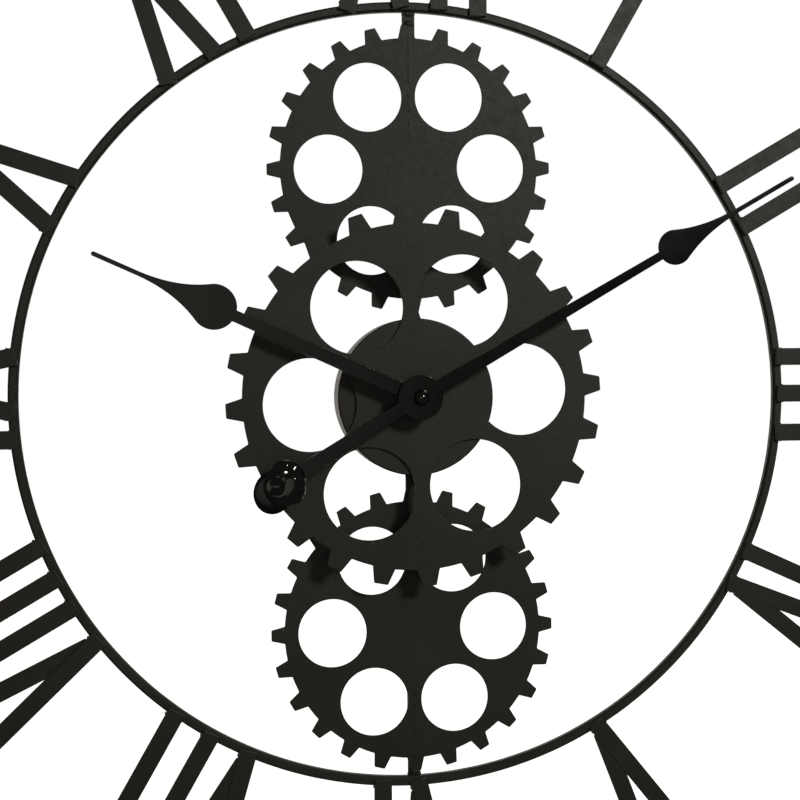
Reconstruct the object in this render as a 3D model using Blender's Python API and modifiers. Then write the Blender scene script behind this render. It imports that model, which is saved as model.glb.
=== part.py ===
"""Skeleton wall clock: two iron rings held together by Roman numerals, three welded
gear plates on a backbone, and a quartz movement in a round housing with two hands.

Run with: blender --background --python part.py
Every piece is modelled in the clock's own axes (x right, y up, z out from the wall, in
metres) under one empty, which stands the clock upright with its dial facing -Y.
"""

import math

import bmesh
import bpy
from mathutils import Matrix, Vector

MM = 0.001
GAP = 0.3 * MM

# Driving dimensions of the iron frame.
DEPTH = 47.0 * MM
BAR = 6.0 * MM
BAR_WIDTH = 6.4 * MM
BAR_EDGE = 1.5 * MM
OUTER_RING = 400.0 * MM
INNER_RING = 252.5 * MM
RING_STEPS = 96

# Numerals: flat bars lying on the front faces of both rings.
STROKE_WIDTH = 11.4 * MM
STROKE_THICK = 2.0 * MM
STROKE_FOOT = 248.2 * MM
STROKE_HEAD = 397.0 * MM
X_SPREAD = 35.0 * MM
X_LEAN = math.radians(12.6)
I_LEAN = math.radians(5.6)
V_NEAR = math.radians(4.1)
V_FAR = math.radians(13.7)
V_OVERLAP = -0.06
SEAM_WIDTH = 0.5 * MM
SEAM_DEPTH = 0.8 * MM
# Strokes clockwise, each with its foot's distance in mm from the hour's own radius.
# "V+" leans clockwise, away from its neighbour, and "I-" leans anticlockwise.
NUMERALS = {
    "xii": (("X", -22.5), ("I", 19.4), ("I", 44.9)),
    "i": (("I", -0.2),),
    "ii": (("I", -15.0), ("I", 16.6)),
    "iii": (("I", -23.8), ("I", 0.8), ("I", 27.0)),
    "iv": (("I-", -21.0), ("V", 2.4)),
    "v": (("V", 2.9),),
    "vi": (("V+", -2.7), ("I", 21.0)),
    "vii": (("V+", -20.0), ("I", 6.7), ("I", 32.9)),
    "viii": (("V+", -30.1), ("I", -4.1), ("I", 16.8), ("I", 38.5)),
    "ix": (("I", -24.0), ("X", 10.2)),
    "x": (("X", -2.8),),
    "xi": (("X", -16.0), ("I", 24.5)),
}


# Gear plates.
PLATE = 1.5 * MM
TEETH = 24
HOLES = 6
HOLE_SIDES = 32
SMALL_TIP = 91.8 * MM
SMALL_ROOT = 83.3 * MM
SMALL_HOLE = 21.9 * MM
SMALL_PITCH = 52.6 * MM
SMALL_FRONT = BAR + 0.3 * MM
TOP_CENTRE = 146.0 * MM
BOTTOM_CENTRE = -150.7 * MM
LARGE_TIP = 120.0 * MM
LARGE_ROOT = 109.6 * MM
LARGE_HOLE = 29.2 * MM
LARGE_PITCH = 67.7 * MM
LARGE_FRONT = 25.0 * MM
TOOTH_TIP = math.radians(2.15)
TOOTH_ROOT = math.radians(3.8)

# Backbone straps behind the small gears, and the plate that the clock hangs by.
STRAP_WIDTH = 8.0 * MM
STRAP_THICK = 3.0 * MM
HANGER_WIDTH = 30.0 * MM
HANGER_DROP = 25.0 * MM
HANGER_THICK = 2.5 * MM
KEYHOLE = 5.0 * MM
KEYHOLE_SLOT = 2.6 * MM

# Movement housing: a pressed cup, open towards the wall.
HOUSING = 49.7 * MM
HOUSING_WALL = 1.5 * MM
HOUSING_FRONT = LARGE_FRONT - PLATE - GAP

# Quartz movement.
CASE = 56.0 * MM
CASE_WALL = 0.9 * MM
CASE_FRONT = HOUSING_FRONT - HOUSING_WALL - 1.6 * MM
CASE_BACK = CASE_FRONT - 15.1 * MM
BAY_TOP = -12.0 * MM
BOSS = 4.0 * MM
BOSS_BORE = 3.05 * MM
BOSS_FRONT = LARGE_FRONT + 8.5 * MM
HOUR_TUBE = 2.8 * MM
HOUR_TUBE_BORE = 1.85 * MM
MINUTE_ARBOR = 1.6 * MM

# Hands: heights over the wall, and the angles clockwise from twelve.
HAND_THICK = 1.0 * MM
HOUR_HEIGHT = 36.0 * MM
MINUTE_HEIGHT = 40.0 * MM
HOUR_ANGLE = math.radians(294.1)
MINUTE_ANGLE = math.radians(60.4)
HOUR_HAND = 218.0 * MM
MINUTE_HAND = 281.5 * MM
TAIL_LENGTH = 100.0 * MM
TAIL_DISC = 12.5 * MM
HOUR_HUB = 10.0 * MM
MINUTE_HUB = 13.3 * MM
WEIGHT_WIDTH = 28.0 * MM
WEIGHT_LENGTH = 33.0 * MM
WEIGHT_CENTRE = 102.5 * MM

# Gear train: axes in the dial's plane, and teeth.
CANNON_TEETH = 12
INTERMEDIATE_TEETH = 36
INTERMEDIATE_PINION = 10
HOUR_TEETH = 40
MOTION_DISTANCE = 10.5 * MM
THIRD_DISTANCE = 10.2 * MM
CENTRE_TEETH = 60
THIRD_TEETH = 64
SECONDS_TEETH = 40
FIFTH_TEETH = 36
PINION_TEETH = 8
ROTOR_PINION = 6
FIFTH_DISTANCE = 7.2 * MM
ROTOR_DISTANCE = 5.88 * MM
ROTOR_MAGNET = 3.0 * MM
WHEEL_THICK = 0.8 * MM
CANNON_HEIGHT = 8.6 * MM
PIVOT = 0.6 * MM
KNOB = 5.0 * MM
KNOB_LOW = 0.6 * MM
INTERMEDIATE_AXIS = Vector((0.0, MOTION_DISTANCE))
KNOB_DIRECTION = Vector((math.cos(math.pi / 3), math.sin(math.pi / 3)))
KNOB_AXIS = INTERMEDIATE_AXIS + MOTION_DISTANCE * KNOB_DIRECTION
THIRD_AXIS = Vector((-THIRD_DISTANCE, 0.0))
FIFTH_AXIS = Vector((FIFTH_DISTANCE, 0.0))
ROTOR_AXIS = FIFTH_AXIS + Vector((ROTOR_DISTANCE, 0.0))

# Battery, lying across the bay.
BATTERY = 7.1 * MM
BATTERY_LEFT = -24.3 * MM
BATTERY_RIGHT = 26.2 * MM
BATTERY_HEIGHT = CASE_FRONT - 1.3 * MM - BATTERY
BATTERY_Y = -19.4 * MM

MATERIALS = {
    "iron_paint": ((0.024, 0.024, 0.021), 0.55, 0.0),
    "hand_paint": ((0.006, 0.006, 0.005), 0.35, 0.0),
    "gloss_black": ((0.004, 0.004, 0.004), 0.12, 0.0),
    "black_plastic": ((0.012, 0.012, 0.012), 0.45, 0.0),
    "rubber": ((0.015, 0.015, 0.015), 0.8, 0.0),
    "brass": ((0.62, 0.42, 0.16), 0.3, 1.0),
    "steel": ((0.45, 0.45, 0.44), 0.35, 1.0),
    "acetal": ((0.75, 0.74, 0.70), 0.4, 0.0),
    "copper_wire": ((0.55, 0.20, 0.08), 0.35, 1.0),
    "magnet": ((0.09, 0.09, 0.09), 0.4, 1.0),
    "board": ((0.02, 0.12, 0.05), 0.5, 0.0),
    "battery_wrap": ((0.10, 0.10, 0.11), 0.35, 0.0),
}


def clear_scene():
    for obj in list(bpy.data.objects):
        bpy.data.objects.remove(obj, do_unlink=True)


def make_collection(name):
    collection = bpy.data.collections.new(name)
    bpy.context.scene.collection.children.link(collection)
    return collection


clear_scene()
PARTS = make_collection("wall_clock")
TOOLS = make_collection("cutters_and_joiners")
TOOLS.hide_render = True
FRAME = bpy.data.objects.new("clock_frame", None)
FRAME.location = (0.0, DEPTH / 2, 0.0)
FRAME.rotation_euler = (math.pi / 2, 0.0, 0.0)
PARTS.objects.link(FRAME)


def material(name):
    """The named material, made the first time it is asked for."""
    found = bpy.data.materials.get(name)
    if found:
        return found
    colour, roughness, metallic = MATERIALS[name]
    made = bpy.data.materials.new(name)
    made.use_nodes = True
    shader = made.node_tree.nodes["Principled BSDF"]
    shader.inputs["Base Color"].default_value = (*colour, 1.0)
    shader.inputs["Roughness"].default_value = roughness
    shader.inputs["Metallic"].default_value = metallic
    made.diffuse_color = (*colour, 1.0)
    return made


def add_object(name, data, place=(0.0, 0.0, 0.0), turn=0.0):
    """An object on the clock, turned about the axis that points out from the wall."""
    obj = bpy.data.objects.new(name, data)
    obj.parent = FRAME
    obj.location = place
    obj.rotation_euler = (0.0, 0.0, turn)
    PARTS.objects.link(obj)
    return obj


def finish(obj, paint, smooth=False):
    """Give the object its own copy of a material, and smooth shading where it is round."""
    own = material(paint).copy()
    own.name = f"{obj.name}_{paint}"
    obj.data.materials.clear()
    obj.data.materials.append(own)
    if smooth:
        for face in obj.data.polygons:
            face.use_smooth = True
    return obj


def circle(radius, sides, centre=(0.0, 0.0), phase=0.0):
    """Points of a regular polygon, anticlockwise."""
    return [
        (
            centre[0] + radius * math.cos(phase + math.tau * step / sides),
            centre[1] + radius * math.sin(phase + math.tau * step / sides),
        )
        for step in range(sides)
    ]


def arc(radius, start, end, steps, centre=(0.0, 0.0)):
    """Points along an arc between two angles, both ends included."""
    turns = [start + (end - start) * step / steps for step in range(steps + 1)]
    return [(centre[0] + radius * math.cos(a), centre[1] + radius * math.sin(a)) for a in turns]


def plate(name, outlines, bottom, thickness, place=(0.0, 0.0), turn=0.0):
    """A flat plate with holes: a filled 2D curve given its thickness, then made a mesh."""
    curve = bpy.data.curves.new(name, "CURVE")
    curve.dimensions = "2D"
    curve.fill_mode = "BOTH"
    curve.extrude = thickness / 2
    for outline in outlines:
        spline = curve.splines.new("POLY")
        spline.points.add(len(outline) - 1)
        spline.use_cyclic_u = True
        for point, (x, y) in zip(spline.points, outline):
            point.co = (x, y, 0.0, 1.0)
    drawn = bpy.data.objects.new(name + "_curve", curve)
    PARTS.objects.link(drawn)
    bpy.context.view_layer.update()
    mesh = bpy.data.meshes.new_from_object(drawn.evaluated_get(bpy.context.evaluated_depsgraph_get()))
    bpy.data.objects.remove(drawn, do_unlink=True)
    shape = bmesh.new()
    shape.from_mesh(mesh)
    bmesh.ops.remove_doubles(shape, verts=shape.verts, dist=0.0001 * MM)
    bmesh.ops.recalc_face_normals(shape, faces=shape.faces)
    shape.to_mesh(mesh)
    shape.free()
    mesh.name = name
    return add_object(name, mesh, (place[0], place[1], bottom + thickness / 2), turn)


def turned(name, profile, steps, place=(0.0, 0.0), closed=True):
    """A turned piece: a profile of (radius, height) points spun about the z axis."""
    mesh = bpy.data.meshes.new(name)
    count = len(profile)
    links = [(step, (step + 1) % count) for step in range(count if closed else count - 1)]
    mesh.from_pydata([(radius, 0.0, height) for radius, height in profile], links, [])
    obj = add_object(name, mesh, (place[0], place[1], 0.0))
    screw = obj.modifiers.new("turn", "SCREW")
    screw.steps = steps
    screw.render_steps = steps
    screw.use_merge_vertices = True
    screw.merge_threshold = 0.00002
    screw.use_smooth_shade = True
    return obj


def rod(name, radius, bottom, top, sides=24, place=(0.0, 0.0)):
    """A plain cylinder standing out from the wall."""
    shape = bmesh.new()
    bmesh.ops.create_cone(
        shape, cap_ends=True, segments=sides, radius1=radius, radius2=radius, depth=top - bottom
    )
    mesh = bpy.data.meshes.new(name)
    shape.to_mesh(mesh)
    shape.free()
    return add_object(name, mesh, (place[0], place[1], (bottom + top) / 2))


def box(name, low, high):
    """A block between two corners."""
    sizes = [b - a for a, b in zip(low, high)]
    shape = bmesh.new()
    bmesh.ops.create_cube(shape, size=1.0, matrix=Matrix.Diagonal((*sizes, 1.0)))
    mesh = bpy.data.meshes.new(name)
    shape.to_mesh(mesh)
    shape.free()
    return add_object(name, mesh, [(a + b) / 2 for a, b in zip(low, high)])


def combine(obj, operation, *tools):
    """Join the tools to the object, or cut them from it, with exact Booleans."""
    for tool in tools:
        PARTS.objects.unlink(tool)
        TOOLS.objects.link(tool)
        tool.hide_render = True
        tool.display_type = "WIRE"
        boolean = obj.modifiers.new(tool.name, "BOOLEAN")
        boolean.operation = operation
        boolean.solver = "EXACT"
        boolean.object = tool
    return obj


def round_edges(obj, width, segments=2, angle=40.0):
    bevel = obj.modifiers.new("rounded_edges", "BEVEL")
    bevel.width = width
    bevel.segments = segments
    bevel.limit_method = "ANGLE"
    bevel.angle_limit = math.radians(angle)
    return obj


def gear_outline(teeth, tip, root, tip_half, root_half, root_steps=1):
    """A gear's outline: straight-sided teeth, the first one on the +x axis."""
    pitch = math.tau / teeth
    points = []
    for tooth in range(teeth):
        middle = tooth * pitch
        for radius, turn in ((root, -root_half), (tip, -tip_half), (tip, tip_half)):
            points.append((radius * math.cos(middle + turn), radius * math.sin(middle + turn)))
        gap = arc(root, middle + root_half, middle + pitch - root_half, root_steps + 1)
        points.extend(gap[:-1])
    return points


def train_outline(teeth, module):
    """A small moulded gear's outline, with teeth thin enough to run freely."""
    radius = module * teeth / 2
    thin = 1.0 if teeth > 12 else 0.85
    tip_half = 0.42 * module * thin / (2 * radius)
    root_half = 1.25 * module * thin / (2 * radius)
    return gear_outline(teeth, radius + 0.85 * module, radius - 1.15 * module, tip_half, root_half, 0)


def ring(name, radius):
    """A square bar rolled into a ring, its edges rounded."""
    inner = radius - BAR_WIDTH
    corners = (
        (radius - BAR_EDGE, BAR - BAR_EDGE, 0.5),
        (radius - BAR_EDGE, BAR_EDGE, 0.0),
        (inner + BAR_EDGE, BAR_EDGE, -0.5),
        (inner + BAR_EDGE, BAR - BAR_EDGE, -1.0),
    )
    profile = []
    for x, z, start in corners:
        profile.extend(arc(BAR_EDGE, math.pi * start, math.pi * (start - 0.5), 2, (x, z)))
    return finish(turned(name, profile, RING_STEPS), "iron_paint")


def bar_outline(foot, head, width):
    """A flat bar's four corners, cut square at the foot and at the head."""
    along = (head - foot).normalized()
    across = Vector((along.y, -along.x)) * width / 2
    return [tuple(corner) for corner in (foot + across, head + across, head - across, foot - across)]


def bar_line(foot, lean):
    """A bar's foot on the inner ring and its head on the outer ring, leaning clockwise."""
    start = Vector((foot, math.sqrt(STROKE_FOOT**2 - foot**2)))
    along = Vector((math.sin(lean), math.cos(lean)))
    shadow = start.dot(along)
    reach = math.sqrt(shadow**2 - start.length_squared + STROKE_HEAD**2) - shadow
    return start, start + along * reach


def stroke_lines(kind, foot):
    """Feet and heads of a stroke's bars: one for an I, two for a V or an X."""
    if kind[0] == "I":
        return [bar_line(foot, -I_LEAN if kind == "I-" else 0.0)]
    if kind == "X":
        half = X_SPREAD / 2
        return [bar_line(foot - half, X_LEAN), bar_line(foot + half, -X_LEAN)]
    leans = {"V": ((V_NEAR + V_FAR) / 2,) * 2, "V+": (V_NEAR, V_FAR)}
    clockwise, anticlockwise = leans[kind]
    apex = STROKE_WIDTH * V_OVERLAP
    return [bar_line(foot - apex, -anticlockwise), bar_line(foot + apex, clockwise)]


def stroke(name, kind, foot, hour):
    """One welded stroke of a numeral. In a V or an X the second bar butts against the
    first, and a narrow seam shows where they meet."""
    bottom = BAR + GAP
    seam = bottom + STROKE_THICK - SEAM_DEPTH
    turn = -math.radians(30.0 * hour)
    lines = stroke_lines(kind, foot)
    whole = plate(name, [bar_outline(*lines[0], STROKE_WIDTH)], bottom, STROKE_THICK, turn=turn)
    for line in lines[1:]:
        outline = bar_outline(*line, STROKE_WIDTH)
        butted = plate(name + "_butted", [outline], bottom, STROKE_THICK, turn=turn)
        wide = bar_outline(*lines[0], STROKE_WIDTH + 2 * SEAM_WIDTH)
        combine(butted, "DIFFERENCE", plate(name + "_seam", [wide], seam, SEAM_DEPTH + GAP, turn=turn))
        combine(whole, "UNION", butted)
    return finish(whole, "iron_paint")


def numerals():
    hours = ("xii", "i", "ii", "iii", "iv", "v", "vi", "vii", "viii", "ix", "x", "xi")
    for hour, numeral in enumerate(hours):
        for place, (kind, foot) in enumerate(NUMERALS[numeral], 1):
            stroke(f"numeral_{numeral}_{place}{kind[0].lower()}", kind, foot * MM, hour)


def gear_plate(name, tip, root, hole, pitch, front, centre, turn, centre_hole=None):
    """A decorative gear cut from sheet, with six round windows."""
    outlines = [gear_outline(TEETH, tip, root, TOOTH_TIP, TOOTH_ROOT)]
    for window in range(HOLES):
        angle = math.tau * window / HOLES
        middle = (pitch * math.cos(angle), pitch * math.sin(angle))
        outlines.append(circle(hole, HOLE_SIDES, middle))
    if centre_hole:
        outlines.append(circle(centre_hole, 24))
    gear = plate(name, outlines, front - PLATE, PLATE, (0.0, centre), math.radians(turn))
    return finish(gear, "iron_paint")


def gears():
    small = (SMALL_TIP, SMALL_ROOT, SMALL_HOLE, SMALL_PITCH, SMALL_FRONT)
    gear_plate("top_gear", *small, TOP_CENTRE, 1.0)
    gear_plate("bottom_gear", *small, BOTTOM_CENTRE, 0.5)
    large = (LARGE_TIP, LARGE_ROOT, LARGE_HOLE, LARGE_PITCH, LARGE_FRONT)
    gear_plate("middle_gear", *large, 0.0, 3.6, BOSS + GAP)


def backbone():
    """Straps from the inner ring to the housing, one behind each small gear."""
    outer = INNER_RING - BAR_WIDTH - GAP
    inner = HOUSING + GAP
    top = SMALL_FRONT - PLATE - GAP
    for name, side in (("top_strap", 1), ("bottom_strap", -1)):
        low, high = sorted((side * inner, side * outer))
        strap = box(name, (-STRAP_WIDTH / 2, low, top - STRAP_THICK), (STRAP_WIDTH / 2, high, top))
        finish(strap, "iron_paint")


def hanger():
    """A small plate with a keyhole, welded inside the outer ring at twelve o'clock."""
    edge = OUTER_RING - BAR_WIDTH - GAP
    half = HANGER_WIDTH / 2
    lean = math.asin(half / edge)
    outline = arc(edge, math.pi / 2 - lean, math.pi / 2 + lean, 4)
    low = edge - HANGER_DROP
    outline += arc(4.0 * MM, math.pi, math.pi * 1.5, 3, (-half + 4.0 * MM, low + 4.0 * MM))
    outline += arc(4.0 * MM, -math.pi / 2, 0.0, 3, (half - 4.0 * MM, low + 4.0 * MM))
    middle = low + 9.0 * MM
    lean = math.asin(KEYHOLE_SLOT / KEYHOLE)
    keyhole = arc(KEYHOLE, math.pi / 2 + lean, math.pi * 2.5 - lean, 14, (0.0, middle))
    keyhole += arc(KEYHOLE_SLOT, 0.0, math.pi, 6, (0.0, middle + 9.0 * MM))
    finish(plate("hanger_plate", [outline, keyhole], 0.0, HANGER_THICK), "iron_paint")


def housing():
    """The pressed cup behind the middle gear, with a hole for the movement's boss."""
    bend = 1.2 * MM
    inside = HOUSING - HOUSING_WALL
    shelf = HOUSING_FRONT - HOUSING_WALL
    profile = arc(bend, math.pi / 2, 0.0, 2, (HOUSING - bend, HOUSING_FRONT - bend))
    profile += [(HOUSING, 0.0), (inside, 0.0), (inside, shelf), (BOSS + GAP, shelf)]
    profile += [(BOSS + GAP, HOUSING_FRONT)]
    finish(turned("movement_housing", profile, 48), "iron_paint")


def movement_case():
    """The moulded front case, open at the back, with its boss, gear room and battery bay."""
    half = CASE / 2
    inner = half - CASE_WALL
    case = box("movement_case", (-half, -half, CASE_BACK), (half, half, CASE_FRONT))
    round_edges(case, 1.5 * MM, 2)
    combine(case, "UNION", rod("boss", BOSS, CASE_FRONT - 0.5 * MM, BOSS_FRONT, 32))
    floor = CASE_FRONT - 1.0 * MM
    back = CASE_BACK - 1.0 * MM
    rooms = (
        box("gear_room", (-inner, BAY_TOP + CASE_WALL, back), (inner, inner, floor)),
        box("battery_bay", (-inner, -inner, back), (inner, BAY_TOP, floor)),
        rod("boss_bore", BOSS_BORE, floor - 1.0 * MM, BOSS_FRONT + 1.0 * MM, 32),
    )
    combine(case, "DIFFERENCE", *rooms)
    finish(case, "black_plastic")
    low = (-half, BAY_TOP + GAP, CASE_BACK - GAP - 1.0 * MM)
    cover = box("movement_cover", low, (half, half, CASE_BACK - GAP))
    round_edges(cover, 0.4 * MM, 1)
    combine(cover, "DIFFERENCE", rod("knob_hole", 1.5 * MM, 0.0, CASE_BACK + MM, 20, KNOB_AXIS))
    finish(cover, "black_plastic")


def fixings():
    """The rubber gasket behind the housing's face, and the washer and nut that clamp it."""
    shelf = HOUSING_FRONT - HOUSING_WALL
    inner = BOSS + GAP
    gasket = ((12.0 * MM, shelf - GAP), (12.0 * MM, CASE_FRONT + GAP))
    gasket += ((inner, CASE_FRONT + GAP), (inner, shelf - GAP))
    finish(turned("rubber_gasket", gasket, 32), "rubber")
    low = LARGE_FRONT + GAP
    high = low + 0.8 * MM
    washer = ((8.0 * MM, high), (8.0 * MM, low), (inner, low), (inner, high))
    finish(turned("clamp_washer", washer, 32), "hand_paint")
    outlines = [circle(6.4 * MM, 6), circle(inner, 24)]
    nut = plate("hex_nut", outlines, high + GAP, 2.4 * MM)
    finish(round_edges(nut, 0.3 * MM, 1), "hand_paint")


def mirrored(side):
    """A closed outline from its right-hand side, whose ends lie on the centre line."""
    return side + [(-x, y) for x, y in reversed(side) if x > 1e-6]


def spade_side(hub, arm, bulb, needle, tip):
    """Right-hand side of a spade hand above its hub: arm, round bulb, long taper, point."""
    radius, centre = bulb
    side = [(arm[0], math.sqrt(hub**2 - arm[0] ** 2))]
    entry = -math.acos(arm[1] / radius)
    side += arc(radius, entry, math.radians(28.0), 9, (0.0, centre))
    start = Vector(side[-1])
    end = Vector((needle[0], needle[1]))
    bend = Vector((needle[0] * 1.15, start.y + (end.y - start.y) * 0.42))
    for step in range(1, 8):
        t = step / 7
        point = start * (1 - t) ** 2 + bend * 2 * t * (1 - t) + end * t**2
        side.append(tuple(point))
    side += arc(needle[0], 0.0, math.pi / 2, 3, (0.0, tip - needle[0]))
    return side


def hour_hand():
    bulb = (14.0 * MM, 138.5 * MM)
    needle = (1.4 * MM, 188.0 * MM)
    above = spade_side(HOUR_HUB, (4.7 * MM, 3.6 * MM), bulb, needle, HOUR_HAND)
    below = arc(HOUR_HUB, -math.pi / 2, math.atan2(above[0][1], above[0][0]), 9)[:-1]
    outlines = [mirrored(below + above), circle(HOUR_TUBE + GAP, 24)]
    hand = plate("hour_hand", outlines, HOUR_HEIGHT, HAND_THICK, turn=-HOUR_ANGLE)
    finish(round_edges(hand, 0.25 * MM, 1), "hand_paint")


def minute_hand():
    tail = (4.2 * MM, 4.8 * MM)
    bulb = (11.2 * MM, 189.6 * MM)
    needle = (1.5 * MM, 238.0 * MM)
    above = spade_side(MINUTE_HUB, (4.3 * MM, 2.7 * MM), bulb, needle, MINUTE_HAND)
    entry = math.acos(tail[1] / TAIL_DISC)
    below = arc(TAIL_DISC, -math.pi / 2, entry, 10, (0.0, -TAIL_LENGTH))
    leave = math.acos(tail[0] / MINUTE_HUB)
    below += arc(MINUTE_HUB, -leave, math.atan2(above[0][1], above[0][0]), 8)[:-1]
    outlines = [mirrored(below + above), circle(MINUTE_ARBOR + GAP, 24)]
    hand = plate("minute_hand", outlines, MINUTE_HEIGHT, HAND_THICK, turn=-MINUTE_ANGLE)
    finish(round_edges(hand, 0.25 * MM, 1), "hand_paint")


def counterweight():
    """The lump that balances the minute hand, on the tail's disc. Its origin is on the axis."""
    shape = bmesh.new()
    bmesh.ops.create_icosphere(shape, subdivisions=3, radius=1.0)
    height = DEPTH - MINUTE_HEIGHT - HAND_THICK - GAP
    for vertex in shape.verts:
        x, y, z = vertex.co
        swell = 1.0 + 0.10 * math.sin(5.0 * x + 1.0) * math.cos(4.0 * y) + 0.06 * math.sin(9.0 * y + 4.0 * z)
        vertex.co = (
            x * swell * WEIGHT_WIDTH / 2,
            y * swell * WEIGHT_LENGTH / 2 - WEIGHT_CENTRE,
            max(z, 0.0) * height,
        )
    bmesh.ops.remove_doubles(shape, verts=shape.verts, dist=0.01 * MM)
    bmesh.ops.dissolve_degenerate(shape, dist=0.01 * MM, edges=shape.edges)
    mesh = bpy.data.meshes.new("counterweight")
    shape.to_mesh(mesh)
    shape.free()
    weight = add_object("counterweight", mesh, (0.0, 0.0, DEPTH - height), -MINUTE_ANGLE)
    finish(weight, "gloss_black", smooth=True)


def cap_nut():
    """The ball cap that screws on the minute arbor."""
    base = MINUTE_HEIGHT + HAND_THICK + GAP
    flange = 5.6 * MM
    ball = 4.1 * MM
    profile = [(0.0, DEPTH)]
    profile += arc(ball, math.radians(78.0), math.radians(-20.0), 6, (0.0, DEPTH - ball))
    profile += [(flange, base + 0.8 * MM), (flange, base), (MINUTE_ARBOR + GAP, base)]
    profile += [(MINUTE_ARBOR + GAP, base + 2.6 * MM), (0.0, base + 2.6 * MM)]
    finish(turned("cap_nut", profile, 24, closed=False), "gloss_black")


def wheel(name, axis, arbor, layers, paint="acetal"):
    """A moulded wheel: an arbor (radius, bottom, top) and its gears, each (teeth, module,
    bottom, top, turn)."""
    obj = rod(name, *arbor, 16, axis)
    for teeth, module, low, high, turn in layers:
        outline = train_outline(teeth, module)
        combine(obj, "UNION", plate(f"{name}_{teeth}_teeth", [outline], low, high - low, axis, turn))
    return finish(obj, paint)


def motion_work():
    """Setting side: minute arbor, intermediate wheel, hour wheel and setting knob. Heights
    are over the cannon pinion, and each pinion's turn puts its teeth in its wheel's gaps."""
    minute_module = 2 * MOTION_DISTANCE / (CANNON_TEETH + INTERMEDIATE_TEETH)
    hour_module = 2 * MOTION_DISTANCE / (INTERMEDIATE_PINION + HOUR_TEETH)
    low = CASE_BACK + CANNON_HEIGHT
    end = low - 0.4 * MM
    layer = (low + 0.4 * MM, low + 0.4 * MM + WHEEL_THICK)
    half_cannon = math.pi / CANNON_TEETH
    cannon = (CANNON_TEETH, minute_module, low, low + 1.6 * MM, half_cannon)
    thread = MINUTE_HEIGHT + HAND_THICK + 2.4 * MM
    arbor = wheel("minute_arbor", (0.0, 0.0), (MINUTE_ARBOR, end, thread), [cannon], "steel")
    combine(arbor, "UNION", rod("arbor_pin", 0.8 * MM, CASE_BACK + 5.2 * MM, low + 0.2 * MM, 16))
    half_pinion = math.pi / INTERMEDIATE_PINION
    large = (INTERMEDIATE_TEETH, minute_module, *layer, 0.0)
    small = (INTERMEDIATE_PINION, hour_module, layer[1] - 0.1 * MM, low + 3.6 * MM, half_pinion + math.pi / 2)
    wheel("intermediate_wheel", INTERMEDIATE_AXIS, (0.8 * MM, end, CASE_FRONT - 1.3 * MM), [large, small])
    hour_low = low + 2.4 * MM
    hour_top = HOUR_HEIGHT + HAND_THICK + 0.4 * MM
    outlines = [train_outline(HOUR_TEETH, hour_module), circle(HOUR_TUBE_BORE, 24)]
    tube = ((HOUR_TUBE, hour_top), (HOUR_TUBE, hour_low))
    tube += ((HOUR_TUBE_BORE, hour_low), (HOUR_TUBE_BORE, hour_top))
    hour = plate("hour_wheel", outlines, hour_low, WHEEL_THICK)
    combine(hour, "UNION", turned("hour_tube", tube, 24))
    finish(hour, "acetal")
    stem = (1.1 * MM, CASE_BACK - 2.2 * MM, layer[1])
    pinion = (CANNON_TEETH, minute_module, *layer, math.pi * 4 / 3 + half_cannon)
    knob = wheel("setting_knob", KNOB_AXIS, stem, [pinion], "black_plastic")
    combine(knob, "UNION", rod("knob_head", KNOB, KNOB_LOW, CASE_BACK - 1.8 * MM, 24, KNOB_AXIS))


def going_train():
    """Timekeeping side, from the stepping rotor to the centre wheel. Heights are over the
    seconds wheel, and each pinion's first tooth faces a gap of the wheel that it drives."""
    centre_module = 2 * THIRD_DISTANCE / (CENTRE_TEETH + PINION_TEETH)
    third_module = 2 * THIRD_DISTANCE / (THIRD_TEETH + PINION_TEETH)
    seconds_module = 2 * FIFTH_DISTANCE / (SECONDS_TEETH + PINION_TEETH)
    fifth_module = 2 * ROTOR_DISTANCE / (FIFTH_TEETH + ROTOR_PINION)
    base = CASE_BACK + 1.0 * MM
    low = base + 1.0 * MM
    second_layer = (low + 1.5 * MM, low + 1.5 * MM + WHEEL_THICK)
    half = math.pi / PINION_TEETH
    short = (PIVOT, base, low + 2.9 * MM)
    large = (SECONDS_TEETH, seconds_module, low, low + WHEEL_THICK, 0.0)
    small = (PINION_TEETH, third_module, low + 0.7 * MM, low + 2.8 * MM, half)
    wheel("seconds_wheel", (0.0, 0.0), short, [large, small])
    large = (THIRD_TEETH, third_module, *second_layer, 0.0)
    small = (PINION_TEETH, centre_module, low + 2.2 * MM, low + 5.1 * MM, half)
    wheel("third_wheel", THIRD_AXIS, (PIVOT, base, low + 5.4 * MM), [large, small])
    outlines = [train_outline(CENTRE_TEETH, centre_module), circle(1.1 * MM, 16)]
    finish(plate("centre_wheel", outlines, low + 3.6 * MM, WHEEL_THICK), "brass")
    large = (FIFTH_TEETH, fifth_module, *second_layer, 0.0)
    small = (PINION_TEETH, seconds_module, low - 0.2 * MM, low + 1.6 * MM, half)
    wheel("fifth_wheel", FIFTH_AXIS, short, [large, small])
    small = (ROTOR_PINION, fifth_module, low + 1.2 * MM, low + 2.7 * MM, math.pi / ROTOR_PINION)
    rotor = wheel("rotor", ROTOR_AXIS, (0.5 * MM, base, low + 6.8 * MM), [small], "magnet")
    magnet = rod("rotor_magnet", ROTOR_MAGNET, low + 4.0 * MM, low + 6.3 * MM, 20, ROTOR_AXIS)
    combine(rotor, "UNION", magnet)


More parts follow.
